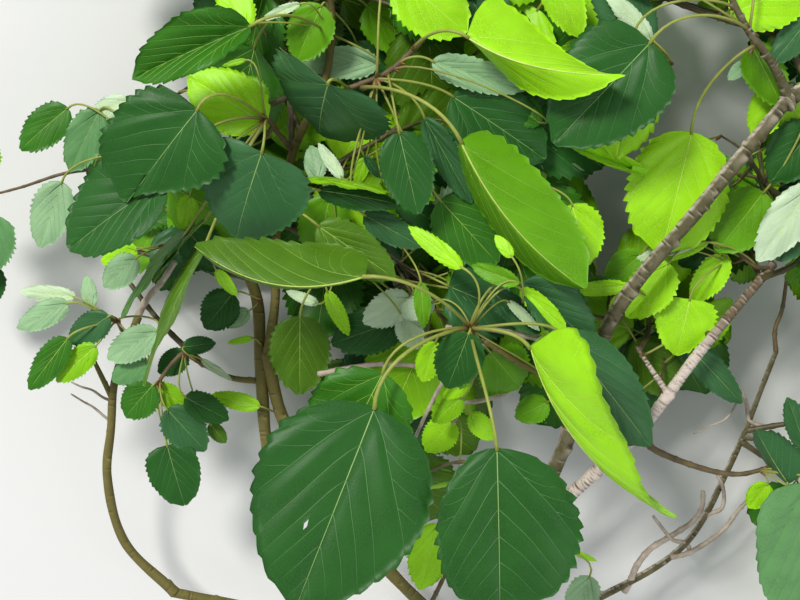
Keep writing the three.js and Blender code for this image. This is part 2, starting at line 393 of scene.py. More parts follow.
limbs = {
    "limb_main": dict(
        start=(56, -352, 12.6), through=[(55, -288, 31), (60, -252, 46)], tip=(70, -224, 58),
        radii=(10.5, 8.4), bark="grey", knobs=5),
    "limb_right_upper": dict(
        on="limb_main", at=0.9,
        through=[(95, -171, 84), (120, -110, 110), (150, -11, 148), (204, 63, 172)], tip=(266, 141, 180),
        radii=(5.9, 4.7), bark="grey", knobs=34),
    "limb_right_tip": dict(
        on="limb_right_upper", at=0.975, through=[(288, 154, 177)], tip=(330, 176, 164), radii=(4.8, 3.4),
        bark="grey", knobs=5),
    "limb_right_top": dict(
        on="limb_right_upper", at=0.985,
        through=[(250, 151, 191), (239, 162, 200), (227, 174, 206), (216, 190, 211)], tip=(210, 203, 213),
        radii=(3.2, 2.1), bark="grey", knobs=11),
    "limb_right_lower": dict(
        on="limb_main", at=0.78,
        through=[(100, -184, 74), (128, -146, 95), (175, -95, 118), (216, -37, 128)], tip=(272, 27, 121),
        radii=(5.8, 3.2), bark="pale", knobs=20, bloom=0.95),
    "limb_middle_lower": dict(
        on="limb_main", at=0.56,
        through=[(24, -247, 48), (-16, -203, 60), (-54, -147, 76), (-87, -92, 92)], tip=(-99, -38, 106),
        radii=(5.0, 4.5), bark="tan", knobs=14),
    "limb_middle_upper": dict(
        on="limb_middle_lower", at=0.985,
        through=[(-92, -3, 111), (-89, 55, 121), (-76, 107, 134), (-53, 155, 144), (-48, 200, 148)],
        tip=(-57, 250, 140), radii=(3.6, 2.4), bark="tan", knobs=14),
    "limb_middle_left": dict(
        on="limb_middle_lower", at=0.6,
        through=[(-95, -131, 83), (-101, -106, 88), (-103, -71, 96), (-104, -38, 102), (-106, 0, 104)],
        tip=(-116, 28, 105), radii=(4.6, 4.4), bark="tan", knobs=8),
    "limb_left_lower": dict(
        on="limb_main", at=0.4, through=[(0, -283, 30), (-64, -255, 36), (-128, -243, 42)],
        tip=(-181, -230, 52), radii=(4.4, 3.6), bark="tan", knobs=6),
    "limb_left_upper": dict(
        on="limb_left_lower", at=0.985,
        through=[(-215, -189, 60), (-226, -136, 70), (-221, -98, 78), (-216, -61, 86)],
        tip=(-196, -12, 95), radii=(3.8, 2.9), bark="tan", knobs=7),
    "shoot_low_right": dict(
        on="limb_main", at=0.5,
        through=[(104, -263, 40), (158, -237, 44), (223, -193, 54), (255, -130, 66)], tip=(286, -38, 84),
        radii=(3.2, 1.9), bark="grey", knobs=14),
    "shoot_low_edge": dict(
        on="shoot_low_right", at=0.8, through=[(285, -106, 78)], tip=(308, -118, 84), radii=(2, 1.6),
        bark="grey", knobs=2),
    "shoot_centre": dict(
        on="limb_right_upper", at=0.45, through=[(108, -55, 152), (82, -43, 173)], tip=(56, -27, 190),
        radii=(2.6, 2.0), bark="tan", knobs=20),
    "shoot_right_inner": dict(
        on="limb_right_lower", at=0.66, tip=(172, -34, 118), radii=(1.9, 1.3), bark="pale", knobs=2,
        bloom=0.6),
    "shoot_left_inner": dict(
        on="limb_middle_left", at=0.56, through=[(-125, -58, 101)], tip=(-148, -46, 111),
        radii=(2.2, 1.6), bark="tan", knobs=2),
    "shoot_left_outer": dict(
        on="limb_left_upper", at=0.72, tip=(-234, -38, 92), radii=(2, 1.5), bark="tan", knobs=2),
}
barkStep = 1.15 * mm       # between rings of the mesh
barkSides = 24
collar = {"swell": 0.22, "length": 12 * mm}  # thickening where a limb leaves its parent
limbEnd = 0.55  # of a limb's last ring against its full radius, before the point that closes it
paintedLightWay = np.array([-0.66, 0.70, 0.27])       # painted sunlight: bark that faces this way is painted pale, as its lit side
paintedLightFrom, paintedLightTo = 0.76, 0.92   # how squarely bark faces that way when the painted sunlight starts, and is full
bloomEnds = (0.74, 0.12)      # where along a limb the bloom starts to fade, and over how much of it

# old leaf scars, wrinkles that run part of the way round, and painted sunlight; then the finish's name,
# the bark's own colour, that of its cracks, and that of its worn crests and of its painted lit side
barks = {
    "grey": dict(
        knobHeight=1.9 * mm, knobLength=2.6 * mm, wrinkle=0.34 * mm, every=2.6 * mm, arc=0.9, bleach=1.0,
        finish="greyBrownBark", colours=((0.088, 0.078, 0.024), (0.022, 0.014, 0.007), (0.72, 0.62, 0.50))),
    "pale": dict(
        knobHeight=1.1 * mm, knobLength=2.2 * mm, wrinkle=0.42 * mm, every=1.5 * mm, arc=2.2, bleach=0.25,
        finish="pinkGreyBark", colours=((0.150, 0.105, 0.050), (0.050, 0.026, 0.018), (0.74, 0.63, 0.56))),
    "tan": dict(
        knobHeight=1.1 * mm, knobLength=2.0 * mm, wrinkle=0.20 * mm, every=5.5 * mm, arc=1.5, bleach=0.30,
        finish="tanTwigBark", colours=((0.155, 0.132, 0.028), (0.045, 0.024, 0.008), (0.40, 0.33, 0.12))),
}
goldenAngle = 2.4  # radians from one leaf, or leaf scar, to the next round the stem


def fromPicture(point):
    # millimetres from the picture's middle to the frame's metres
    x, y, z = point
    return np.array([x * mm + camera["over"][0], y * mm + camera["over"][1], z * mm])


scar = {  # an old leaf scar, in shares of its own reach along the limb
    "sizes": (0.5, 1.25),
    "slopes": (1.7, 0.6),         # before its top, and behind it
    "width": 1.1,
    "pit": (0.8, 0.5, 0.9),       # how far behind the top it is, and how long and wide
    "pitDepth": 0.45,
    "marks": (0.95, 0.45),        # how dark the pit is, and how pale the top
}
wrinkle = {  # in millimetres along the limb
    "crest": 0.62,                # half width
    "crack": (0.95, 0.48),        # how far behind the crest it is, and its half width
    "crackDepth": 0.9,
    "marks": (0.85, 0.40),
}


def limbPath(limb, paths):
    # from its share of the parent's line, or its own start, through its points to its tip
    parent = paths.get(limb.get("on"))
    root = fromPicture(limb["start"]) if parent is None else atShare(parent, limb["at"])
    points = [root, *[fromPicture(p) for p in limb.get("through", [])], fromPicture(limb["tip"])]
    return curveThrough(points, barkStep)


def atShare(path, share):
    # the place at a share of a path's steps, read off between two of them
    place = share * (len(path) - 1)
    return np.array([np.interp(place, np.arange(len(path)), path[:, k]) for k in range(3)])


def barkRelief(along, around, radius, look, knobs):
    # height of the bark over the plain taper, and its mark: above nought in pits and cracks, below
    # on worn crests. Scars go round by the golden angle, each a bump that rises slowly, drops
    # quickly and has a pit behind it. Wrinkles are crosswise waves that fade out round the limb.
    length = along.max()
    scale = np.clip(radius / (5 * mm), 0.5, 1.3)
    height = 0.30 * mm * scale * np.sin(2 * around + along * 60) * np.sin(along * 110)
    mark = np.zeros_like(height)

    def apart(turn):
        return np.abs((around - turn + np.pi) % (2 * np.pi) - np.pi)

    for k in range(knobs):
        place = length * (k + dice.uniform(0.1, 0.9)) / knobs
        away = apart(goldenAngle * k + dice.uniform(-0.7, 0.7)) * radius
        size = dice.uniform(*scar["sizes"])
        reach = look["knobLength"] * size * scale
        slope = np.where(along < place, *scar["slopes"]) * reach
        bump = np.exp(-((along - place) / slope) ** 2 - (away / (reach * scar["width"])) ** 2)
        behind, long, wide = (reach * share for share in scar["pit"])
        pit = np.exp(-((along - place - behind) / long) ** 2 - (away / wide) ** 2)
        height += look["knobHeight"] * size * scale * (bump - scar["pitDepth"] * pit)
        mark += scar["marks"][0] * pit - scar["marks"][1] * bump
    for _ in range(int(length / look["every"])):
        place = dice.uniform(0, length)
        across = apart(dice.uniform(0, 2 * np.pi))
        bend = dice.uniform(-0.5, 0.5)
        arc = np.exp(-(across / (look["arc"] * dice.uniform(0.5, 1.2))) ** 4) * dice.uniform(0.4, 1.2)
        line = (along - place) / mm - bend * across ** 2
        behind, wide = wrinkle["crack"]
        crest = np.exp(-(line / wrinkle["crest"]) ** 2) * arc
        crack = np.exp(-((line - behind) / wide) ** 2) * arc
        height += look["wrinkle"] * scale * (crest - wrinkle["crackDepth"] * crack)
        mark += wrinkle["marks"][0] * crack - wrinkle["marks"][1] * crest
    return height - height.mean(), mark


def barkLimb(mesh, path, radii, knobs, look, bloom, cutInk):
    # rings square to the path: radius tapers from root to tip, swells at the root, and carries
    # the bark's relief; flat at the root, and drawn in to a point at the tip. A pale bloom can
    # cover the limb up to the young wood near its tip.
    count, sides = len(path), barkSides
    run = np.linspace(0, 1, count)
    length = np.linalg.norm(np.diff(path, axis=0), axis=1).sum()
    along = (run * length)[:, None]
    around = (np.arange(sides) * 2 * np.pi / sides)[None, :]
    radius = (radii[0] + (radii[1] - radii[0]) * run) * mm
    radius = radius * (1 + collar["swell"] * np.exp(-run * length / collar["length"]))
    height, mark = barkRelief(along, around, radius[:, None], look, knobs)
    full = radius[:, None] + height
    full[-1] *= limbEnd
    _, side, other = framesAlong(path[None])
    outward = np.cos(around)[..., None] * side[0][:, None] + np.sin(around)[..., None] * other[0][:, None]
    wall = path[:, None] + full[..., None] * outward
    broken = 0.6 + 0.4 * np.sin(along * 700 + 3 * around) * np.sin(along * 310)
    # painted highlight: the side of the bark that faces up and to the left is painted pale in broken
    # streaks, as if sunlit
    mark = mark - look["bleach"] * smooth((outward @ paintedLightWay - paintedLightFrom) / (paintedLightTo - paintedLightFrom)) * broken
    mark = mark - bloom * (1 - smooth((run - bloomEnds[0]) / bloomEnds[1]))[:, None]
    points = np.concatenate([wall.reshape(-1, 3), path[:1], path[-1:]])
    middle = len(points) - 2
    step = np.arange(sides)
    ahead = (step + 1) % sides
    foot = np.stack([np.full(sides, middle), ahead, step, step], axis=1)
    top = np.stack([np.full(sides, middle + 1), (count - 1) * sides + step,
                    (count - 1) * sides + ahead, (count - 1) * sides + ahead], axis=1)
    faces = np.vstack([gridFaces(count, sides, closed=True), foot, top])
    inks = np.zeros(len(faces), int)
    inks[-2 * sides:-sides] = cutInk
    mesh.add(points, faces, inks, np.concatenate([np.clip(mark, -1, 1).reshape(-1), [0, 0]]))


limbPaths = {}
for name, limb in limbs.items():
    limbPaths[name] = limbPath(limb, limbPaths)

cutWood = plainFinish("cutWood", (0.62, 0.50, 0.32), 0.7, 0.7, 420.0)
for bark, look in barks.items():
    mesh = Mesh()
    own = [name for name in limbs if limbs[name]["bark"] == bark]
    for name in own:
        limb = limbs[name]
        cutInk = int("start" in limb)  # the butt's cut end shows its wood
        barkLimb(mesh, limbPaths[name], limb["radii"], limb["knobs"], look, limb.get("bloom", 0), cutInk)
    finish = barkFinish(look["finish"], *look["colours"])
    mesh.piece(f"bark{bark.title()}Limbs", [finish, cutWood], own, "bark_" + bark)


# The leaf blade

blade = {
    "tipPinch": 0.42,       # how much the last stretch narrows to a point
    "pinchFrom": 0.88,
    "basalReach": 0.58,     # the side veins that meet the margin below this all start at the base
    "teeth": 12,            # on each side
    "toothDepth": 0.036,    # share of the radius of a leaf 100 mm long; larger leaves have shallower ones
    "toothPeak": 0.74,      # where along a tooth its highest point is
    "toothCentre": 0.42,    # teeth point away from this place on the midrib
    "thickness": 0.34 * mm,
    "quilt": 0.010,         # swelling between side veins, share of the length
    "curl": -0.04,          # of the margins, downwards
    "groove": (0.006, 0.02),  # depth and half width of the channel along the midrib
    "veinSweep": 1.16,      # above 1 the side veins leave the midrib squarely and bend forwards
    "veinStray": 0.030,
    "foldEase": 0.30,       # how much of the fold is gone at the tip
    "twistCentre": 0.4,
    "veinMargins": (0.0, 0.58, 0.745, 0.82, 0.875, 0.92, 0.96, 1.0),  # where side veins meet the margin
    "endRows": (0.006, 0.972, 0.996),  # rows of the mesh nearest the stalk and the tip
}
usualLeaf = {  # lengths are shares of the blade's length, angles are degrees
    "wide": 0.88, "fold": 8, "roll": 0, "twist": 0, "arch": 0.03, "wave": 0.014, "depth": 1.0,
    "sway": 0, "lop": 0, "tipLop": 0,
    "basePower": 0.46,      # lower is blunter at the base
    "tipPower": 0.66,       # higher is finer at the tip
}


def outline(v, p, q):
    # half width against the share of the length: v^p (1-v)^q, scaled to 1 at its widest, pinched
    # towards the tip
    widest = p / (p + q)
    peak = widest ** p * (1 - widest) ** q
    pinch = 1 - blade["tipPinch"] * smooth((v - blade["pinchFrom"]) / (1 - blade["pinchFrom"]))
    return v ** p * (1 - v) ** q / peak * pinch


def spineAt(v):
    # where on the midrib the side vein that meets the margin at v starts: all of the first ones
    # at the base, then further and further along
    late = np.maximum(v - blade["basalReach"], 0) / (1 - blade["basalReach"])
    return 0.03 * v + 0.97 * late ** 1.9


def toothHeight(v, side, leaf):
    # each tooth rises in a round slope and drops quickly, like a blunt hook, and no two are as deep
    place = v * blade["teeth"]
    part = place - np.floor(place)
    peak = blade["toothPeak"]
    hook = np.where(part < peak, (part / peak) ** 0.8, (1 - part) / (1 - peak)) * 2 - 1
    number = np.clip(np.floor(place), 0, blade["teeth"] - 1).astype(int)
    depth = np.where(side > 0, leaf["teethLeft"][:, number], leaf["teethRight"][:, number])
    return hook * depth * smooth(v / 0.12) * (0.35 + 0.65 * smooth((1 - v) / 0.30))


def leafSurface(leaf, v, u):
    # v runs 0 at the stalk to 1 at the tip, along the margin; u runs -1 at the right margin, 0 on
    # the midrib, 1 at the left margin. A row of equal v follows a side vein from the midrib to
    # the margin. Height adds the fold of the two halves, the arch of the midrib and the groove along
    # it, the curl of the margins, their waves, and the quilting between side veins. Sway bends the
    # midrib sideways, lop widens the left half at the cost of the right, and tipLop does so towards
    # the tip only.
    side, across = np.sign(u), np.abs(u)
    half = leaf["wide"] / 2
    leftward = 1 + side * (leaf["lop"] + leaf["tipLop"] * (2 * v) ** 3)
    reach = side * half * leftward * outline(v, leaf["basePower"], leaf["tipPower"])
    edge = np.stack(np.broadcast_arrays(v + 0 * half, reach), axis=-1)
    centre = np.array([blade["toothCentre"], 0.0])
    depth = blade["toothDepth"] * leaf["depth"] * np.clip(leaf["length"] / (100 * mm), 0.55, 2) ** -0.8
    toothed = centre + (edge - centre) * (1 + depth * toothHeight(v, side, leaf))[..., None]
    edge = edge + (toothed - edge) * (across ** 5)[..., None]
    spine = spineAt(v)
    stray = blade["veinStray"] * across * (1 - across) * np.sin(8 * v + 7 * across + leaf["phase"] + side)
    x = spine + (edge[..., 0] - spine) * across ** blade["veinSweep"]
    x = x + stray * smooth(v / 0.3) * smooth((1 - v) / 0.1)
    y = edge[..., 1] * across
    between = np.interp(v, blade["veinMargins"], np.arange(len(blade["veinMargins"])))
    z = blade["quilt"] * np.sin(np.pi * between) ** 2 * np.sin(np.pi * across) ** 0.8
    z = z - blade["groove"][0] * np.exp(-(y / blade["groove"][1]) ** 2)
    z = z + leaf["arch"] * 4 * x * (1 - x)
    z = z + blade["curl"] * across ** 2 * np.abs(y) / half
    z = z + leaf["wave"] * across ** 3 * np.sin(2 * np.pi * leaf["waves"] * v + leaf["phase"] + 2.1 * side)
    fold = leaf["fold"] * (1 - blade["foldEase"] * x)
    z, y = z + np.abs(y) * np.sin(fold), y * np.cos(fold)
    turn = leaf["twist"] * (x - blade["twistCentre"])
    y, z = y * np.cos(turn) - z * np.sin(turn), y * np.sin(turn) + z * np.cos(turn)
    sway = leaf["sway"] * 4 * x * (1 - x)
    x, y, z, sway = ((leaf["length"] * a)[..., None] for a in (x, y, z, sway))
    return (leaf["base"][:, None] + x * leaf["ahead"][:, None] + y * leaf["left"][:, None]
            + z * leaf["up"][:, None] + sway * leaf["aside"][:, None])


def makeLeaves(rows):
    # turns a list of leaf dictionaries into arrays, and gives each its own axes: ahead from base
    # to tip, up towards the sky (or as asked) and rolled about the blade's length
    n = len(rows)
    shape = {key: np.array([row.get(key, usual) for row in rows], float)[:, None]
             for key, usual in usualLeaf.items()}
    for key in ("fold", "roll", "twist"):
        shape[key] = np.radians(shape[key])
    base = np.array([row["base"] for row in rows])
    tip = np.array([row["tip"] for row in rows])
    sky = np.array([row.get("sky", (0, 0, 1)) for row in rows], float)
    ahead = unit(tip - base)
    aside = left = unit(np.cross(sky, ahead))
    up = np.cross(ahead, left)
    roll = shape["roll"]
    left, up = left * np.cos(roll) + up * np.sin(roll), up * np.cos(roll) - left * np.sin(roll)
    return {
        **shape, "base": base, "tip": tip, "ahead": ahead, "left": left, "up": up, "aside": aside,
        "length": np.linalg.norm(tip - base, axis=1)[:, None],
        "waves": dice.uniform(1.6, 3.2, (n, 1)),
        "phase": dice.uniform(0, 2 * np.pi, (n, 1)),
        "teethLeft": dice.uniform(0.25, 1.35, (n, blade["teeth"])),
        "teethRight": dice.uniform(0.25, 1.35, (n, blade["teeth"])),
    }


def surfaceNormals(leaf, v, u):
    # square to a small step along the surface and one across it
    step = 1e-3
    along = leafSurface(leaf, np.clip(v + step, 0, 1), u) - leafSurface(leaf, np.clip(v - step, 0, 1), u)
    across = leafSurface(leaf, v, u + step) - leafSurface(leaf, v, u - step)
    return unit(np.cross(along, across) + 1e-9 * leaf["up"][:, None])


holeShare = 0.42  # how much of its cell a hole takes up, each way


def placesAcross(columns):
    # from right margin to left, closer together near the margins
    even = np.linspace(-1, 1, columns)
    return 0.65 * even + 0.35 * np.sin(even * np.pi / 2)


def bladeSkins(mesh, leaf, toothPlaces, columns, holes=()):
    # a thin closed solid: upper and under skin half a thickness either side of the surface, and a
    # rim that joins them all round. Rows follow the teeth and the side veins. A hole splits one
    # cell of both skins into a frame round a gap, and lines the gap with a rim of its own.
    toothed = (np.arange(blade["teeth"])[:, None] + toothPlaces).ravel() / blade["teeth"]
    v = np.concatenate([blade["endRows"], toothed[1:], blade["veinMargins"][1:-1]])
    v = np.unique(np.round(v, 4))
    u = placesAcross(columns)
    rows = len(v)
    vv, uu = (a.reshape(-1) for a in np.meshgrid(v, u, indexing="ij"))
    middle = leafSurface(leaf, vv, uu)
    grid = middle.reshape(len(middle), rows, columns, 3)
    normal = unit(np.cross(np.gradient(grid, axis=1), np.gradient(grid, axis=2)) + 1e-12)
    normal = normal.reshape(middle.shape)
    half = blade["thickness"] / 2
    points = np.concatenate([middle + normal * half, middle - normal * half], axis=1)
    skin = gridFaces(rows, columns)
    size = rows * columns
    r, c = np.arange(rows), np.arange(columns)
    loop = np.concatenate([c[:-1], r[:-1] * columns + columns - 1,
                           (rows - 1) * columns + c[:0:-1], r[:0:-1] * columns])
    ring = np.roll(loop, -1)
    rim = np.stack([loop, loop + size, ring + size, ring], axis=1)
    cells = [np.argmin(np.abs(v - along)) * (columns - 1) + np.argmin(np.abs(u - across))
             for along, across in holes]
    frames, linings = [], []
    for k, cell in enumerate(cells):
        outer, gap = skin[cell], 2 * size + 8 * k + np.arange(4)
        corners = points[:, np.concatenate([outer, outer + size])].reshape(-1, 2, 4, 3)
        heart = corners.mean(axis=2, keepdims=True)
        points = np.concatenate([points, (heart + (corners - heart) * holeShare).reshape(-1, 8, 3)], axis=1)
        frames.append(np.stack([outer, np.roll(outer, -1), np.roll(gap, -1), gap], axis=1))
        linings.append(np.stack([gap, np.roll(gap, -1), np.roll(gap, -1) + 4, gap + 4], axis=1))
    skin = np.delete(skin, cells, axis=0)
    under = [np.where(one < size, one + size, one + 4) for one in frames]
    upper = np.vstack([skin] + frames)[:, ::-1]
    faces = np.vstack([upper, skin + size] + under + [rim] + linings)
    inks = np.repeat([0, 1, rimInk], [len(upper), len(upper), len(faces) - 2 * len(upper)])
    copies = len(middle)
    mesh.add(points, repeated(faces, copies, points.shape[1]), np.tile(inks, copies))


veinLook = {
    "width": 0.34 * mm,   # half width of a vein of weight 1 at its start, on a 100 mm leaf
    "proud": 0.26 * mm,   # above the skin
    "taper": 0.70,        # share of the width that is gone at its end
    "sink": 0.4,          # share of the height that is gone at its end
    "weights": (2.1, 1.15, 0.60),  # of the midrib, the first pair of side veins, and their branches
    "fainter": 0.12,      # each next pair of side veins
    "midrib": (0.004, 0.99),
    "reach": (0.97, 0.9),  # towards the margin: the first four pairs, and the rest
    "branchReach": 0.93,
    # where each branch leaves the first side vein, share across, and meets the margin, share along
    "branches": ((0.14, 0.12), (0.31, 0.23), (0.50, 0.35), (0.70, 0.47)),
}


def addVeins(mesh, leaf, columns, detail):
    # veins stand a little proud of both skins: a diamond section, wide as the vein and taller than
    # the blade, carried along the vein's line on the surface. The midrib runs base to tip; each
    # side vein keeps to its own row of the blade's grid; the first pair also sends branches out
    # to the lower margin.
    out = placesAcross(columns)[columns // 2:]
    heavy, usual, light = veinLook["weights"]
    steady = np.linspace(0, 1, 200)
    steps = np.linspace(*veinLook["midrib"], 24 if detail else 8)
    midrib = np.interp(steps, spineAt(steady), steady)
    lines = [(midrib, 0 * midrib, heavy)]
    for side in (-1, 1):
        for k, v in enumerate(blade["veinMargins"][1:-1 if detail else -3]):
            reach = veinLook["reach"][int(k >= 4)]
            lines.append((v + 0 * out, side * out * reach, usual - veinLook["fainter"] * k))
        for start, end in veinLook["branches"] * detail:
            t = np.linspace(0, 1, 8)
            first = blade["veinMargins"][1]
            across = start + (veinLook["branchReach"] - start) * t
            lines.append((first + (end - first) * t ** 0.8, side * across, light))
    size = leaf["length"] / (100 * mm)
    for v, u, weight in lines:
        t = np.linspace(0, 1, len(v))
        middle, normal = leafSurface(leaf, v, u), surfaceNormals(leaf, v, u)
        width = weight * (1 - veinLook["taper"] * t) * veinLook["width"] * size ** 0.6
        proud = blade["thickness"] / 2 + veinLook["proud"] * (1 - veinLook["sink"] * t) * size ** 0.5
        across = unit(np.cross(normal, np.gradient(middle, axis=1)))
        ring = np.stack([middle + normal * proud[..., None], middle + across * width[..., None],
                         middle - normal * proud[..., None], middle - across * width[..., None]], axis=2)
        caps = np.array([[3, 2, 1, 0], [(len(v) - 1) * 4 + k for k in range(4)]])
        faces = np.vstack([gridFaces(len(v), 4, closed=True), caps])
        mesh.add(ring, repeated(faces, len(middle), len(v) * 4), int(weight < heavy))


def leafAt(base, tip, tone, **shape):
    # one leaf's row: the ends of its blade, its tone, and what differs from the usual leaf
    return {"base": base, "tip": tip, "tone": tone, **shape}


# Leaves that the picture shows, by the shoot that carries them. A place is (pixel across, pixel
# down, height in mm). What can differ is the blade's shape, how its stalk runs (bow, enter, arc),
# the node that the stalk leaves, and holes in the blade.

